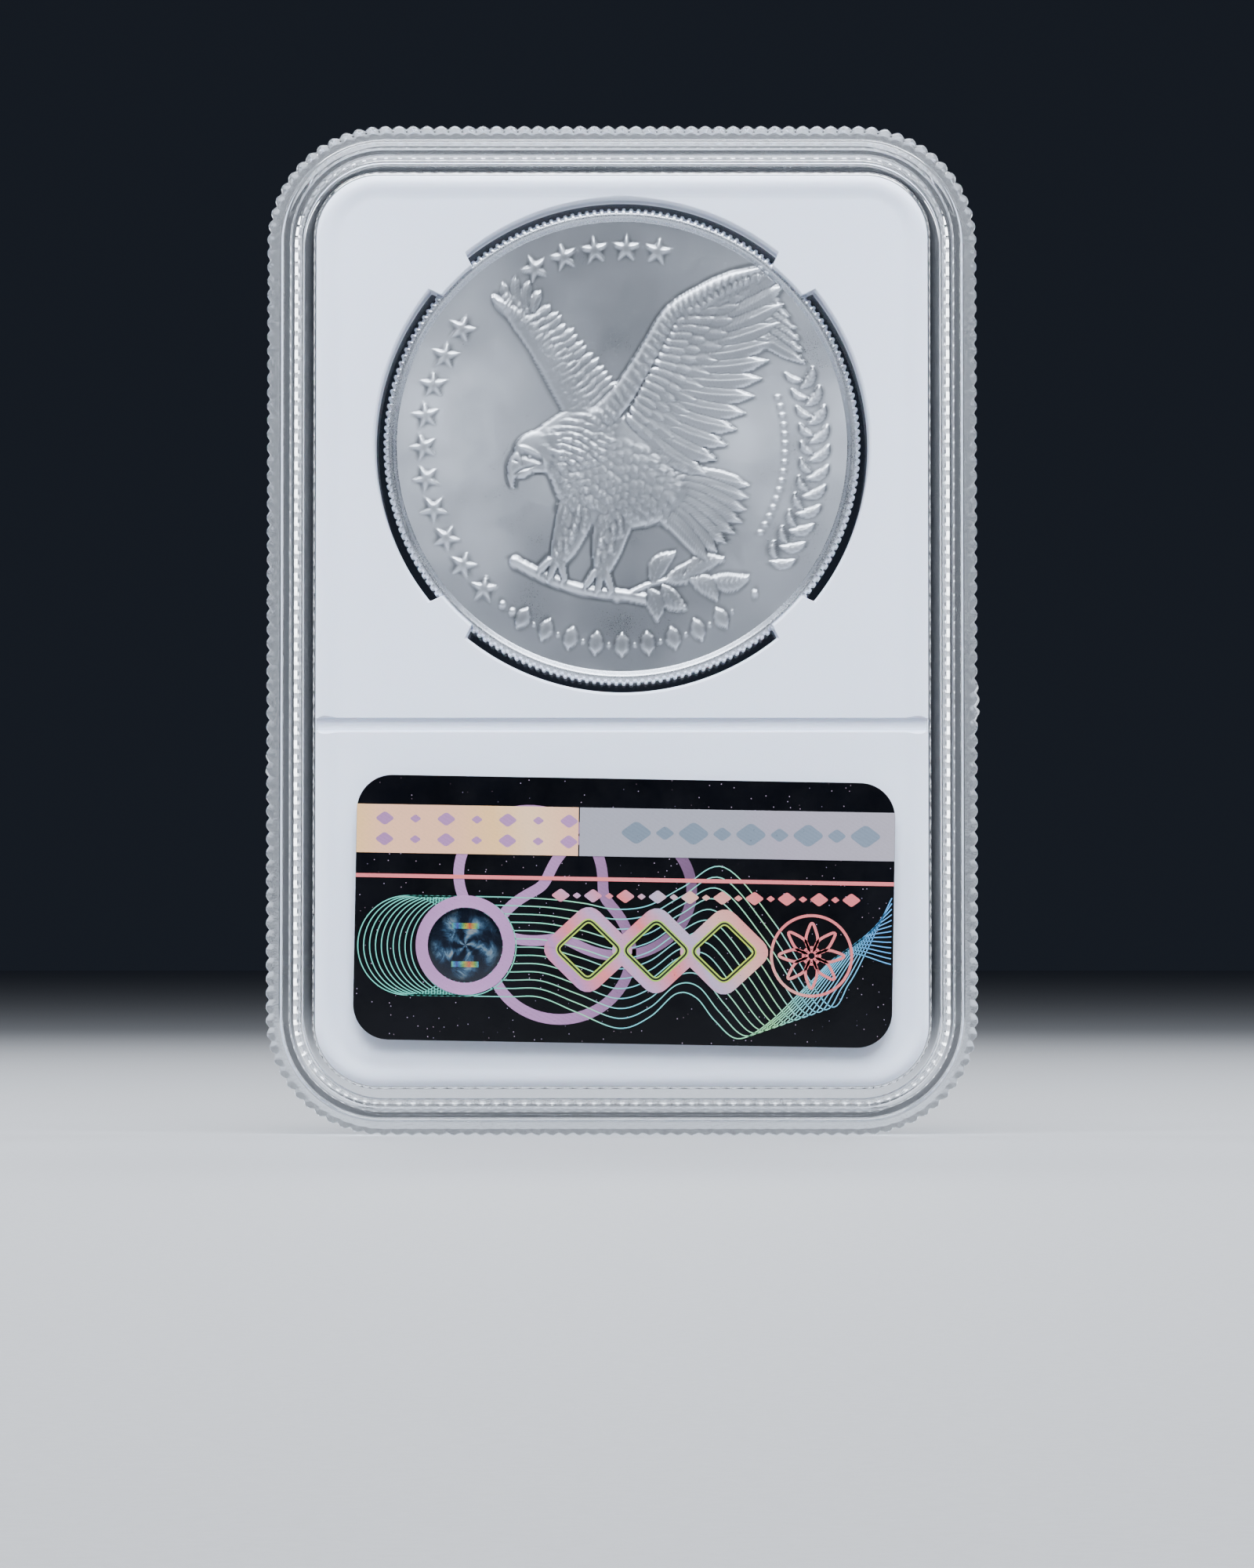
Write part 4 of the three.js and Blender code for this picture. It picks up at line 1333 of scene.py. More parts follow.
def struck_silver(name, tint, centre, roughness, lustre=0.0):
    """Struck silver. Metal that flowed outwards under the dies leaves fine radial lines in the field, which
    turn lamps into bands of light that run out from the middle. The relief is frosted and painted a little darker
    than the field, with painted shade in its crevices and painted highlights on its ridges."""
    finish = Finish(name, Metallic=1.0)
    places = finish.places(centre)
    x, _, up = finish.split(places)
    angle = finish.math("ARCTAN2", up, x)
    radius = finish.math("SQRT", finish.math("ADD", finish.math("MULTIPLY", x, x), finish.math("MULTIPLY", up, up)))
    around = finish.math("MULTIPLY", angle, 46.0)
    lines = finish.add("ShaderNodeCombineXYZ", {0: around, 1: finish.math("MULTIPLY", radius, 0.35)})
    flow = finish.noise(lines.outputs[0], 2.0, 3.0, 0.65)
    grain = finish.noise(places, 9.0, 2.0, 0.6)
    cloud = finish.noise(places, 0.16, 3.0, 0.55)
    tone = finish.mix(finish.spread(cloud, 0.3, 0.7), shade(tint, 0.93), shade(tint, 1.03))
    mottled = finish.math("ADD", finish.math("MULTIPLY", grain, 0.5), finish.math("MULTIPLY", cloud, 0.5))
    rough = finish.spread(mottled, 0.35, 0.65, roughness - 0.04, roughness + 0.06)
    if lustre:
        ridge = finish.add("ShaderNodeAttribute", attribute_name="ridge").outputs["Fac"]
        raised = finish.add("ShaderNodeAttribute", attribute_name="raised").outputs["Fac"]
        # painted shade: the relief's silver is darkened so that it reads no lighter than the field
        tone = finish.mix(raised, tone, shade(tint, 0.78))
        # painted shade: points that lie below their surroundings are darkened, as crevices in shadow
        tone = finish.mix(finish.spread(ridge, 0.47, 0.1, 0.0, 0.9), tone, shade(tint, 0.38))
        # painted highlight: points that stand over their surroundings are lightened, as ridges catching the light
        tone = finish.mix(finish.spread(ridge, 0.6, 0.95, 0.0, 0.9), tone, shade(tint, 1.35))
        rough = finish.math("ADD", rough, finish.math("MULTIPLY", raised, 0.02))
        smooth = finish.spread(raised, 0.0, 1.0, 1.0, 0.5)
        finish.set("Anisotropic", finish.math("MULTIPLY", finish.spread(radius, 2.5, 11.0, 0.0, lustre), smooth))
        finish.set("Tangent", finish.add("ShaderNodeTangent", direction_type="RADIAL", axis="Y").outputs[0])
    finish.set("Base Color", tone)
    finish.set("Roughness", rough)
    normal = finish.bump(flow, 0.3, 0.012)
    finish.bump(grain, 0.3, 0.008, normal)
    return finish.material


def paper(tint):
    """Coated label paper with a faint weave of fibres."""
    finish = Finish("label paper", Roughness=0.7, Sheen_Weight=0.05)
    places = finish.places()
    fibres = finish.noise(finish.places(turn=0.4, stretch=(0.4, 1, 2.2)), 3.4, 4.0, 0.7, 0.6)
    cloud = finish.noise(places, 0.12, 2.0)
    tone = finish.mix(finish.spread(fibres, 0.3, 0.7), shade(tint, 0.95), shade(tint, 1.03))
    warm = finish.mix(finish.spread(cloud, 0.35, 0.65, 0.0, 0.25), tone, (tint[0], tint[1] * 0.98, tint[2] * 0.93))
    finish.set("Base Color", warm)
    finish.set("Roughness", finish.spread(fibres, 0.3, 0.7, 0.62, 0.8))
    finish.bump(fibres, 0.3, 0.02)
    return finish.material


def printed_ink(name, tint, gloss=0.4, metallic=0.0):
    """Ink or hot foil on paper, a little uneven where it took."""
    finish = Finish(name, Metallic=metallic)
    specks = finish.noise(finish.places(), 5.0, 3.0, 0.6)
    finish.set("Base Color", finish.mix(finish.spread(specks, 0.35, 0.7), shade(tint, 0.85), shade(tint, 1.12)))
    finish.set("Roughness", finish.spread(specks, 0.3, 0.7, gloss - 0.08, gloss + 0.1))
    finish.bump(specks, 0.2, 0.01)
    return finish.material


def black_film(tint=(0.0015, 0.0018, 0.003)):
    """Glossy black film with dust-fine foil specks that catch the light in different colours."""
    finish = Finish("black hologram film", Specular_IOR_Level=0.25)
    places = finish.places()
    cells = finish.add("ShaderNodeTexVoronoi", {"Vector": places, "Scale": 2.1, "Randomness": 1.0}, feature="F1")
    dot = finish.spread(cells.outputs["Distance"], 0.1, 0.05)
    lucky = finish.math("GREATER_THAN", finish.split(cells.outputs["Color"])[0], 0.3)
    share = finish.math("MULTIPLY", dot, lucky)
    hue = finish.ramp(
        finish.split(cells.outputs["Color"])[1],
        [(0.0, (0.30, 0.62, 0.58)), (0.35, (0.62, 0.64, 0.72)), (0.7, (0.70, 0.46, 0.58)), (1.0, (0.36, 0.44, 0.80))],
    )
    haze = finish.noise(places, 0.09, 3.0)
    ground = finish.mix(finish.spread(haze, 0.4, 0.75), tint, (0.003, 0.0035, 0.006))
    finish.set("Base Color", finish.mix(share, ground, hue))
    smudge = finish.noise(places, 0.35, 4.0, 0.65)
    finish.set("Roughness", finish.spread(smudge, 0.35, 0.75, 0.12, 0.22))
    finish.bump(finish.noise(places, 0.5, 2.0), 0.08, 0.05)
    return finish.material


def diffractive_foil(name, stops, centre, span, turn=0.0, grating=3.0, strength=0.35, metallic=0.55):
    """Foil whose colour runs across it through the stops, in fine parallel lines like a hologram's grating."""
    finish = Finish(name, Metallic=metallic, Coat_Weight=0.25, Coat_Roughness=0.1)
    places = finish.places(centre, turn)
    x, _, up = finish.split(places)
    wander = finish.noise(places, 0.3, 2.0)
    along = finish.math("ADD", finish.spread(x, -span / 2, span / 2), finish.spread(wander, 0, 1, -0.06, 0.06))
    colour = finish.ramp(along, stops)
    lines = finish.math("SINE", finish.math("MULTIPLY", finish.math("ADD", up, finish.math("MULTIPLY", x, 0.6)), grating * TURN))
    fleck = finish.noise(places, 4.0, 2.0, 0.6)
    darker = finish.mix(0.86, (0.0, 0.0, 0.0), colour)
    share = finish.math("ADD", finish.spread(lines, -1, 1, 0.0, strength), finish.spread(fleck, 0.35, 0.65, 0.0, 0.35))
    finish.set("Base Color", finish.mix(share, colour, darker))
    finish.set("Roughness", finish.spread(fleck, 0.3, 0.7, 0.26, 0.44))
    finish.bump(lines, 0.12, 0.006)
    return finish.material


def lens_foil(centre):
    """The dark seal: cloudy blue petals over near black, under four short rainbow bars."""
    finish = Finish("seal lens foil", Metallic=0.6, Coat_Weight=0.4, Coat_Roughness=0.06)
    places = finish.places(centre, STICKER_TURN)
    x, _, up = finish.split(places)
    angle = finish.math("ARCTAN2", up, x)
    radius = finish.math("SQRT", finish.math("ADD", finish.math("MULTIPLY", x, x), finish.math("MULTIPLY", up, up)))
    wander = finish.noise(places, 0.75, 5.0, 0.65, 1.2)
    petals = finish.math("SINE", finish.math("ADD", finish.math("MULTIPLY", angle, 5.0), finish.math("MULTIPLY", radius, 1.4)))
    cloud = finish.math("MULTIPLY", finish.spread(petals, -1, 1, 0.5, 1.0), wander)
    dark = finish.ramp(
        cloud,
        [(0.0, (0.002, 0.003, 0.006)), (0.3, (0.006, 0.012, 0.028)), (0.42, (0.03, 0.075, 0.14)),
         (0.52, (0.12, 0.22, 0.32)), (0.62, (0.34, 0.36, 0.36))],
    )
    dark = finish.mix(finish.spread(radius, 2.3, 3.0), dark, (0.004, 0.008, 0.018))
    rainbow = finish.ramp(
        finish.spread(finish.math("PINGPONG", finish.math("ADD", x, 8.05), 1.05), 0, 1.05),
        [(0.0, (0.75, 0.10, 0.05)), (0.25, (0.80, 0.50, 0.06)), (0.5, (0.25, 0.62, 0.12)), (0.75, (0.06, 0.40, 0.60)),
         (1.0, (0.10, 0.10, 0.45))],
    )
    off = finish.math("ABSOLUTE", finish.math("SUBTRACT", finish.math("ABSOLUTE", up), 1.62))
    bars = finish.math("MULTIPLY", finish.math("LESS_THAN", off, 0.24), finish.math("LESS_THAN", finish.math("ABSOLUTE", x), 1.15))
    bars = finish.math("MULTIPLY", bars, finish.spread(wander, 0.3, 0.6, 0.35, 1.0))
    finish.set("Base Color", finish.mix(bars, dark, rainbow))
    finish.set("Roughness", finish.spread(wander, 0.3, 0.7, 0.2, 0.34))
    finish.bump(cloud, 0.15, 0.03)
    return finish.material


def studio_floor(tint):
    """Pale matt board with a slight tooth."""
    finish = Finish("pale board", Roughness=0.6)
    places = finish.places()
    tooth = finish.noise(places, 1.4, 4.0, 0.6)
    finish.set("Base Color", finish.mix(finish.spread(tooth, 0.35, 0.65), shade(tint, 0.965), shade(tint, 1.03)))
    finish.bump(tooth, 0.2, 0.05)
    return finish.material

# --- operators ------------------------------------------------------------------------------------------


class OBJECT_OT_clear_shells(bpy.types.Operator):
    """Add the two clear fluted shells of the holder, each with its window, stacking ridge and rib"""

    bl_idname = "object.slab_add_clear_shells"
    bl_label = "Clear shells"
    bl_options = {"REGISTER", "UNDO"}

    def execute(self, context):
        settings = context.scene.slab_shells
        plastic = clear_plastic("clear plastic", settings.plastic, 0.015)
        for name, node, joint in (("clear_rear", "rear_shell", GROOVE), ("clear_front", "front_shell", TONGUE)):
            piece = clear_shell(name, settings, joint)
            stand_up(piece, front=node == "front_shell")
            finish_piece(piece, plastic, "clear_plastic", node)
        return {"FINISHED"}


class OBJECT_OT_weld_seam(bpy.types.Operator):
    """Add the weld between the shells, with the thin ragged flash that it left round the edge"""

    bl_idname = "object.slab_add_weld_seam"
    bl_label = "Weld"
    bl_options = {"REGISTER", "UNDO"}

    def execute(self, context):
        settings = context.scene.slab_shells
        piece = weld_line("weld_flash", settings)
        stand_up(piece)
        finish_piece(piece, cloudy_plastic(settings.plastic), "weld_plastic", "weld_bead")
        return {"FINISHED"}


class OBJECT_OT_prong_insert(bpy.types.Operator):
    """Add the white insert, with its round opening, four prongs, rib grooves and label recess"""

    bl_idname = "object.slab_add_prong_insert"
    bl_label = "White insert"
    bl_options = {"REGISTER", "UNDO"}

    def execute(self, context):
        settings = context.scene.slab_insert
        piece = prong_insert("prong_insert", context.scene.slab_shells, settings)
        stand_up(piece)
        finish_piece(piece, white_plastic(settings.plastic), "white_plastic", "white_insert")
        return {"FINISHED"}


class OBJECT_OT_silver_coin(bpy.types.Operator):
    """Add the silver coin: a struck relief on each face, the raised rim, and reeds round the edge"""

    bl_idname = "object.slab_add_silver_coin"
    bl_label = "Silver coin"
    bl_options = {"REGISTER", "UNDO"}

    def execute(self, context):
        settings = context.scene.slab_coin
        silver = settings.silver
        centre = (0, COIN_MIDDLE)
        struck = struck_silver("struck silver", silver, centre, 0.31, 0.5)
        bright = struck_silver("bright silver", shade(silver, 1.08), centre, 0.26)
        for name, paint, front in (("coin_eagle_face", rear_face, False), ("coin_sun_face", front_face, True)):
            piece = link_piece(name, coin_face_mesh(name, paint, settings))
            stand_up(piece, front)
            finish_piece(piece, struck, "silver", "coin")
        rim = link_piece("coin_rim", coin_rim_mesh("coin_rim", settings))
        stand_up(rim)
        finish_piece(rim, bright, "silver", "coin")
        reeds = coin_reeds("coin_reeds", settings, bright)
        stand_up(reeds)
        finish_piece(reeds, bright, "silver", "coin")
        return {"FINISHED"}


class OBJECT_OT_paper_label(bpy.types.Operator):
    """Add the paper label behind the front window, with a printed band, a foil border and rows of marks"""

    bl_idname = "object.slab_add_paper_label"
    bl_label = "Paper label"
    bl_options = {"REGISTER", "UNDO"}

    def place(self, piece, material, node=None):
        piece.data.transform(Matrix.Translation((0, LABEL_MIDDLE * MM, LABEL_FLOOR * MM)))
        stand_up(piece, front=True)
        finish_piece(piece, material, "label_paper", *([node] if node else []))

    def execute(self, context):
        settings = context.scene.slab_label
        width, height = settings.width / MM, settings.height / MM
        sheet = rounded_plate("label_sheet", width, height, 2.4, ((0, 0.01), (0, 0.19), (0.02, 0.21)))
        self.place(link_piece("label_sheet", sheet), paper(settings.paper), "paper_label")
        ink = printed_ink("printed ink", settings.ink)
        gold = printed_ink("gold foil", settings.gold, 0.3, 1.0)
        top = 0.21
        band = rounded_plate("label_band", width - 2.4, 6.2, 1.2, ((0, top - 0.01), (0, top + 0.008)), (0, 8.6))
        self.place(link_piece("label_band", band), ink)
        frame_line = Outline(width - 1.2, height - 1.2, 1.8, 0.6 - height / 2).sample_evenly(10, 1).ring(0)
        waves = []
        across = np.linspace(-width / 2 + 2.2, width / 2 - 2.2, 181)
        for k in range(7):
            wave = 8.6 + 1.9 * np.sin(across * 0.55 + k * 0.42) * np.cos(across * 0.07 + 0.3 * k)
            waves.append(np.column_stack([across, wave, np.full(len(across), top + 0.011)]))
        self.place(ribbons("label_band_waves", waves, 0.09, 0.008, gold), gold)
        border = [at_height(np.vstack([frame_line, frame_line[:1]]), top + 0.004)]
        border.append(np.array([(0.9 - width / 2, 4.9, top + 0.004), (width / 2 - 0.9, 4.9, top + 0.004)]))
        self.place(ribbons("label_border", border, 0.22, 0.012, gold), gold)
        star = []
        for k in range(16):
            reach = 2.5 if k % 2 == 0 else 1.3
            star.append(reach * polar(1, 22.5 * k + 11.25) + np.array([0, 8.6]))
        self.place(link_piece("label_star", flat_shape_mesh("label_star", star, top, top + 0.03)), gold)
        dash = link_piece("label_marks", rounded_plate("mark", 2.2, 0.95, 0.45, ((0, 0), (0, 0.01)), corner_steps=4))
        tree = row_of_copies_tree("Rows of marks", ink)
        run_shape_tree(dash, tree, {"Columns": 13, "Rows": 5, "Row length": 38 * MM, "Column length": 11 * MM,
                                    "Small share": 0.55})
        dash.data.transform(Matrix.Translation((0, -4.2 * MM, top * MM)))
        self.place(dash, ink)
        return {"FINISHED"}


class OBJECT_OT_hologram_film(bpy.types.Operator):
    """Add the black film of the hologram sticker, with its fine specks"""

    bl_idname = "object.slab_add_hologram_film"
    bl_label = "Sticker film"
    bl_options = {"REGISTER", "UNDO"}

    def execute(self, context):
        settings = context.scene.slab_sticker
        thick = settings.thickness / MM
        levels = ((0, 0), (0, thick - 0.03), (0.03, thick))
        mesh = rounded_plate("film_sheet", settings.width / MM, settings.height / MM, settings.corner / MM, levels)
        piece = link_piece("film_sheet", mesh)
        lay_on_window(piece)
        finish_piece(piece, black_film(), "black_film", "hologram_film")
        return {"FINISHED"}


class OBJECT_OT_foil_band(bpy.types.Operator):
    """Add the sticker's two foil stripes and their faint rows of lozenges, and the thin pink line below"""

    bl_idname = "object.slab_add_foil_band"
    bl_label = "Sticker band"
    bl_options = {"REGISTER", "UNDO"}

    def execute(self, context):
        settings = context.scene.slab_sticker
        edge = settings.width / MM / 2 - 0.02
        split, low, high, top = -3.95, 4.6, 8.7, 0.165
        middle = sticker_place(-13.4, 6.65)
        peach = settings.peach
        gold = (1.0, 0.60, 0.27)
        warm = diffractive_foil(
            "warm foil",
            [(0.0, gold), (0.12, peach), (0.42, shade(peach, 0.97)), (0.62, gold), (0.78, (1.0, 0.66, 0.40)), (1.0, peach)],
            middle, 19.0, STICKER_TURN, strength=0.15, metallic=0.0,
        )
        cool = diffractive_foil(
            "grey foil",
            [(0.0, settings.grey), (0.5, shade(settings.grey, 1.02)), (0.62, (0.40, 0.36, 0.44)), (1.0, (0.42, 0.39, 0.45))],
            sticker_place(9.4, 6.65), 27.0, STICKER_TURN, strength=0.15, metallic=0.0,
        )
        stripes = (
            ("foil_stripe_warm", -edge, split - 0.05, warm, "warm_foil", "warm_foil_stripe"),
            ("foil_stripe_grey", split + 0.05, edge, cool, "grey_foil", "grey_foil_stripe"),
        )
        for name, left, right, foil, slot, node in stripes:
            piece = link_piece(name, stripe_mesh(name, left, right, low, high, 0.12, top))
            lay_on_window(piece)
            finish_piece(piece, foil, slot, node)
        rows = (
            ("foil_marks_warm", -12.6, 7, 2, 15.6, 1.75, 0.62, settings.lilac, "warm_foil"),
            ("foil_marks_grey", 10.6, 9, 1, 19.4, 0.0, 1.05, (0.22, 0.28, 0.36), "grey_foil"),
        )
        for name, middle, columns, count, across, up, size, tint, slot in rows:
            ink = diffractive_foil(name.replace("_", " "), [(0.0, shade(tint, 0.9)), (1.0, shade(tint, 1.15))],
                                   (0, 20), 40, strength=0.4, metallic=0.3)
            mark = closed_line(lozenge(0, 0, size * 1.35, size), 0.25)[:-1, :2]
            piece = link_piece(name, flat_shape_mesh(name, mark, -0.002, 0.004))
            tree = row_of_copies_tree("Faint lozenges", ink)
            run_shape_tree(piece, tree, {"Columns": columns, "Rows": count, "Row length": across * MM,
                                         "Column length": up * MM, "Small share": 0.6})
            piece.data.transform(Matrix.Translation((middle * MM, 6.65 * MM, top * MM)))
            lay_on_window(piece)
            finish_piece(piece, ink, slot)
        pink = diffractive_foil("pink foil", [(0.0, settings.pink), (0.5, shade(settings.pink, 1.1)), (1.0, settings.pink)],
                                (0, 20), 30, strength=0.2, metallic=0.2)
        line = [np.array([(-edge, 2.67, 0.14), (edge, 2.67, 0.14)])]
        piece = ribbons("pink_line", line, 0.33, 0.03, pink)
        lay_on_window(piece)
        finish_piece(piece, pink, "warm_foil")
        return {"FINISHED"}


class OBJECT_OT_foil_pattern(bpy.types.Operator):
    """Add the sticker's soft lilac motif and the fine teal circles and waves that run behind the emblems"""

    bl_idname = "object.slab_add_foil_pattern"
    bl_label = "Sticker pattern"
    bl_options = {"REGISTER", "UNDO"}

    def execute(self, context):
        settings = context.scene.slab_sticker
        lilac, teal, blue = settings.lilac, settings.teal, settings.blue
        soft = diffractive_foil("soft lilac foil", [(0.0, shade(lilac, 0.9)), (0.45, shade(lilac, 0.8)), (0.75, shade(lilac, 0.45)),
                                                    (1.0, shade(lilac, 0.25))],
                                sticker_place(-5, 0), 24.0, strength=0.5, metallic=0.1)
        # one endless curve with three wide leaves, like a knot
        angle = np.linspace(0, TURN, 241)
        reach = 6.2 + 3.4 * np.cos(3 * angle)
        knot = np.column_stack([1.1 * reach * np.cos(2 * angle + 0.35) - 4.6, reach * np.sin(2 * angle + 0.35) + 0.3])
        motif = [at_height(knot, 0.1235)]
        piece = ribbons("lilac_motif", motif, 0.9, 0.005, soft)
        lay_on_window(piece)
        finish_piece(piece, soft, "lilac_foil")
        fine = diffractive_foil(
            "teal foil",
            [(0.0, teal), (0.25, shade(teal, 0.95)), (0.42, (0.30, 0.80, 0.46)), (0.5, (0.16, 0.62, 0.72)),
             (0.66, (0.20, 0.70, 0.60)), (0.76, (0.34, 0.80, 0.38)), (0.87, (0.16, 0.58, 0.80)), (1.0, blue)],
            sticker_place(0, 0), 45.0, strength=0.1, metallic=0.0,
        )
        circles = [circle_line(-18.3 + 0.5 * k, -3.2, 4.2) for k in range(11)]
        piece = ribbons("fine_circles", raised(circles, 0.131), 0.085, 0.006, fine)
        lay_on_window(piece)
        finish_piece(piece, fine, "lens_foil")
        piece = ribbons("fine_waves", raised(security_lines(settings.lines), 0.131), 0.09, 0.006, fine)
        lay_on_window(piece)
        finish_piece(piece, fine, "lens_foil")
        return {"FINISHED"}


class OBJECT_OT_foil_emblems(bpy.types.Operator):
    """Add the sticker's row of small lozenges, its three interlocking frames and its rosette"""

    bl_idname = "object.slab_add_foil_emblems"
    bl_label = "Sticker emblems"
    bl_options = {"REGISTER", "UNDO"}

    def execute(self, context):
        settings = context.scene.slab_sticker
        pink, lilac = settings.pink, settings.lilac
        bold = diffractive_foil(
            "bold pink foil",
            [(0.0, pink), (0.12, lilac), (0.22, shade(pink, 1.15)), (0.36, (0.62, 0.40, 0.66)), (0.5, pink),
             (0.62, (0.56, 0.46, 0.66)), (0.78, (0.95, 0.50, 0.42)), (1.0, pink)],
            sticker_place(3, -3.3), 19.0, math.radians(35), strength=0.2, metallic=0.3,
        )
        acid = diffractive_foil("acid green foil", [(0.0, (0.60, 0.80, 0.08)), (0.5, (0.42, 0.72, 0.10)), (1.0, (0.66, 0.78, 0.06))],
                                sticker_place(3, -3.3), 18.0, strength=0.1, metallic=0.2)
        dark = diffractive_foil("dark line foil", [(0.0, (0.005, 0.01, 0.005)), (1.0, (0.01, 0.012, 0.008))],
                                sticker_place(3, -3.3), 18.0, strength=0.1, metallic=0.2)
        mark = closed_line(lozenge(0, 0, 0.82, 0.6), 0.2)[:-1, :2]
        row = link_piece("small_lozenges", flat_shape_mesh("small_lozenges", mark, 0, 0.03))
        tree = row_of_copies_tree("Small lozenges", bold)
        run_shape_tree(row, tree, {"Columns": 19, "Rows": 1, "Row length": 24.6 * MM, "Column length": 0.0,
                                   "Small share": 0.45})
        row.data.transform(Matrix.Translation((6.9 * MM, 1.25 * MM, 0.125 * MM)))
        lay_on_window(row)
        finish_piece(row, bold, "lilac_foil")

        def frames(smaller):
            lines = []
            for u, lift in ((-3.0, 0.0), (2.75, 0.008), (8.5, 0.0)):
                line = closed_line(lozenge(u, -3.3, 3.4 - smaller, 3.25 - smaller), 0.16)
                lines.append(line + np.array([0, 0, lift]))
            return lines

        for name, foil, smaller, width, height, level in (
            ("bold_frames", bold, 0.0, 1.2, 0.03, 0.155), ("bold_frame_edges", acid, 0.62, 0.4, 0.012, 0.176),
            ("bold_frame_cores", dark, 0.62, 0.16, 0.008, 0.186),
        ):
            piece = ribbons(name, raised(frames(smaller), level), width, height, foil)
            lay_on_window(piece)
            finish_piece(piece, foil, "lilac_foil")
        petal = closed_line([(0.15, 0.0), (1.3, 0.62), (3.1, 0.0), (1.3, -0.62)], 0.38)
        rosette = []
        for k in range(8):
            turn = np.array(Matrix.Rotation(k * TURN / 8, 3, "Z"))
            rosette.append((petal @ turn.T) + np.array([15.9, -3.5, 0]))
        rosette += [circle_line(15.9, -3.5, 3.4), circle_line(15.9, -3.5, 0.7, 24)]
        piece = ribbons("pink_rosette", raised(rosette, 0.148), 0.24, 0.022, bold)
        lay_on_window(piece)
        finish_piece(piece, bold, "lilac_foil")
        return {"FINISHED"}


class OBJECT_OT_small_seal(bpy.types.Operator):
    """Add the sticker's small seal: a lilac ring round a dark domed disc"""

    bl_idname = "object.slab_add_small_seal"
    bl_label = "Sticker seal"
    bl_options = {"REGISTER", "UNDO"}

    def execute(self, context):
        centre = (-13.4, -3.1)
        lilac = context.scene.slab_sticker.lilac
        place = sticker_place(*centre)
        ring_foil = diffractive_foil("lilac ring foil", [(0.0, shade(lilac, 0.95)), (0.5, shade(lilac, 1.12)), (1.0, lilac)],
                                     place, 8.4, strength=0.2, metallic=0.3)
        section = ((3.18, 0.14), (3.18, 0.172), (3.22, 0.18), (4.14, 0.18), (4.2, 0.17), (4.2, 0.14))
        piece = link_piece("seal_border", turned_mesh("seal_border", section, 144, centre))
        lay_on_window(piece)
        finish_piece(piece, ring_foil, "lilac_foil", "seal_ring")
        angle = np.arange(120) * TURN / 120
        round_it = np.column_stack([np.cos(angle), np.sin(angle)])
        rings = [at_height(3.14 * round_it + np.array(centre), 0.125)]
        for k in range(9):
            tilt = k / 8 * math.radians(84)
            rings.append(at_height(3.14 * math.cos(tilt) * round_it + np.array(centre), 0.165 + 0.06 * math.sin(tilt)))
        piece = link_piece("seal_dome", capped_loft(rings))
        lay_on_window(piece)
        finish_piece(piece, lens_foil(place), "lens_foil", "seal_lens")
        return {"FINISHED"}


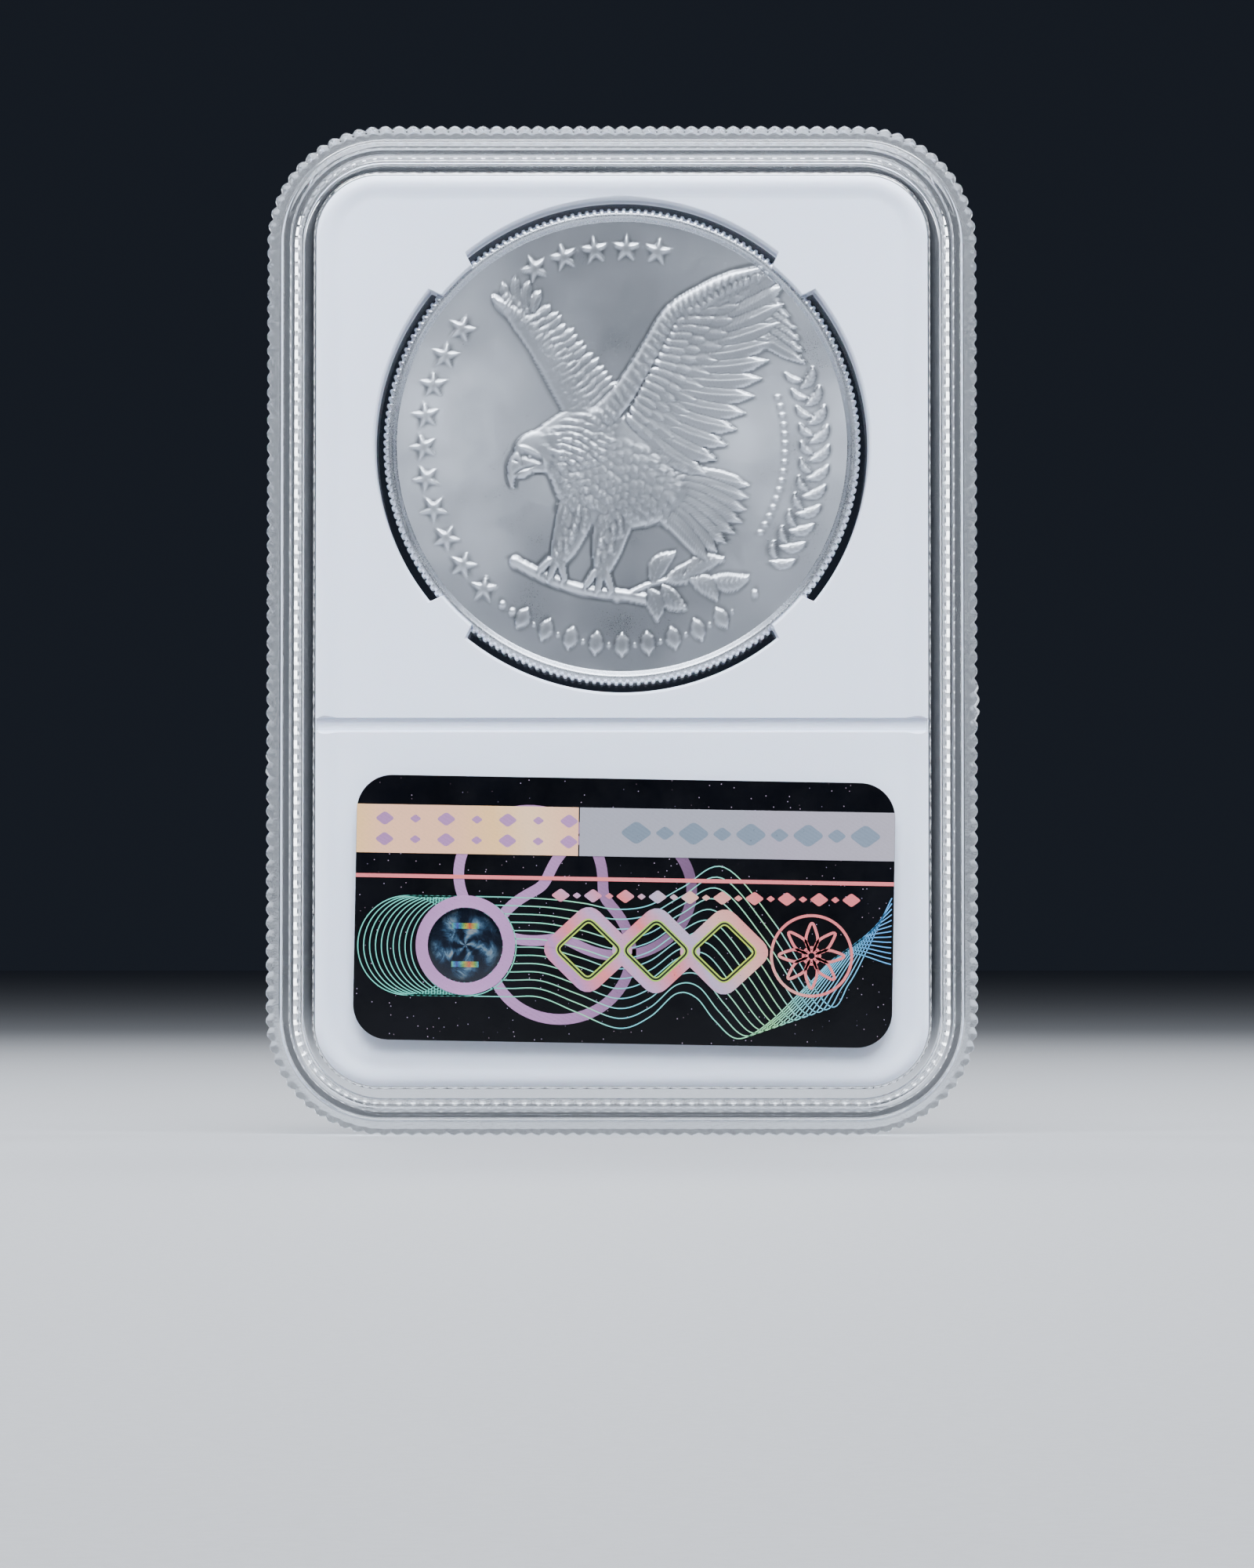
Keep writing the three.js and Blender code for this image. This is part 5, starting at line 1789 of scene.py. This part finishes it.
class OBJECT_OT_studio_stage(bpy.types.Operator):
    """Add the floor, the soft lamps, the plain surroundings and the camera"""

    bl_idname = "object.slab_add_studio_stage"
    bl_label = "Stage"
    bl_options = {"REGISTER", "UNDO"}

    def lamp(self, name, place, aim, size, watts, tint=(1, 1, 1)):
        light = bpy.data.lights.new(name, "AREA")
        light.shape = "RECTANGLE"
        light.size, light.size_y = size
        light.energy = watts
        light.color = tint
        piece = bpy.data.objects.new(name, light)
        piece.location = place
        piece.rotation_euler = (Vector(aim) - Vector(place)).to_track_quat("-Z", "Y").to_euler()
        bpy.context.scene.collection.objects.link(piece)

    def execute(self, context):
        settings = context.scene.slab_stage
        half, thick = 4.0, 0.01
        corners = [(-half, -half), (half, -half), (half, half), (-half, half)]
        rings = [[(x, y, -thick) for x, y in corners], [(x, y, 0.0) for x, y in corners]]
        mesh = bpy.data.meshes.new("floor")
        mesh.from_pydata(rings[0] + rings[1], [], loft([np.array(r) for r in rings]) + [[3, 2, 1, 0], [4, 5, 6, 7]])
        floor = link_piece("floor", mesh)
        floor.data.materials.append(studio_floor(settings.floor))

        world = bpy.data.worlds.new("plain surroundings")
        world.use_nodes = True
        world.node_tree.nodes["Background"].inputs[0].default_value = (0.012, 0.015, 0.022, 1)
        world.node_tree.nodes["Background"].inputs[1].default_value = 1.0
        context.scene.world = world

        middle = (0, 0, 0.043)
        self.lamp("overhead box", (0.0, -0.20, 0.55), middle, (0.6, 0.22), 5.6, (0.94, 0.965, 1.0))
        self.lamp("front box", (0.0, -0.85, 0.80), middle, (0.7, 0.35), 11.8, (0.92, 0.955, 1.0))
        self.lamp("left rim", (-0.42, 0.10, 0.16), middle, (0.14, 0.4), 1.8, (0.92, 0.96, 1.0))
        self.lamp("right rim", (0.42, 0.10, 0.16), middle, (0.14, 0.4), 1.8, (0.92, 0.96, 1.0))
        self.lamp("back top", (0.0, 0.40, 0.4), middle, (0.5, 0.12), 2.2, (0.95, 0.97, 1.0))

        distance, eye, tall = settings.distance, settings.eye, settings.frame_height
        camera = bpy.data.cameras.new("camera")
        camera.sensor_fit = "VERTICAL"
        camera.sensor_width = 24.0
        camera.lens = 24.0 * distance / tall
        camera.clip_start = 0.01
        pitch = math.radians(2.6)
        centre_height = eye + distance * math.tan(pitch)
        camera.shift_y = (0.0298 - centre_height) / tall
        camera.shift_x = 0.00043 / tall
        piece = bpy.data.objects.new("camera", camera)
        piece.location = (0, -distance, eye)
        piece.rotation_euler = (math.pi / 2 + pitch, 0, 0)
        context.scene.collection.objects.link(piece)
        context.scene.camera = piece
        return {"FINISHED"}


class VIEW3D_PT_coin_slab(bpy.types.Panel):
    """Lists the pieces of the coin slab, in the order in which they are built"""

    bl_label = "Coin Slab"
    bl_space_type = "VIEW_3D"
    bl_region_type = "UI"
    bl_category = "Coin Slab"

    def draw(self, context):
        column = self.layout.column(align=True)
        for operator in OPERATORS:
            column.operator(operator.bl_idname)
        for key, group in SETTINGS.items():
            box = self.layout.box()
            settings = getattr(context.scene, key)
            for name in group.__annotations__:
                box.prop(settings, name)


OPERATORS = (
    OBJECT_OT_clear_shells,
    OBJECT_OT_weld_seam,
    OBJECT_OT_prong_insert,
    OBJECT_OT_silver_coin,
    OBJECT_OT_paper_label,
    OBJECT_OT_hologram_film,
    OBJECT_OT_foil_band,
    OBJECT_OT_foil_pattern,
    OBJECT_OT_foil_emblems,
    OBJECT_OT_small_seal,
    OBJECT_OT_studio_stage,
)
CLASSES = (*SETTINGS.values(), *OPERATORS, VIEW3D_PT_coin_slab)


def register():
    for cls in CLASSES:
        bpy.utils.register_class(cls)
    for key, group in SETTINGS.items():
        setattr(bpy.types.Scene, key, PointerProperty(type=group))


def unregister():
    for key in SETTINGS:
        delattr(bpy.types.Scene, key)
    for cls in reversed(CLASSES):
        bpy.utils.unregister_class(cls)


def main():
    register()
    for operator in OPERATORS:
        getattr(bpy.ops.object, operator.bl_idname.split(".")[1])()


if __name__ == "__main__":
    main()
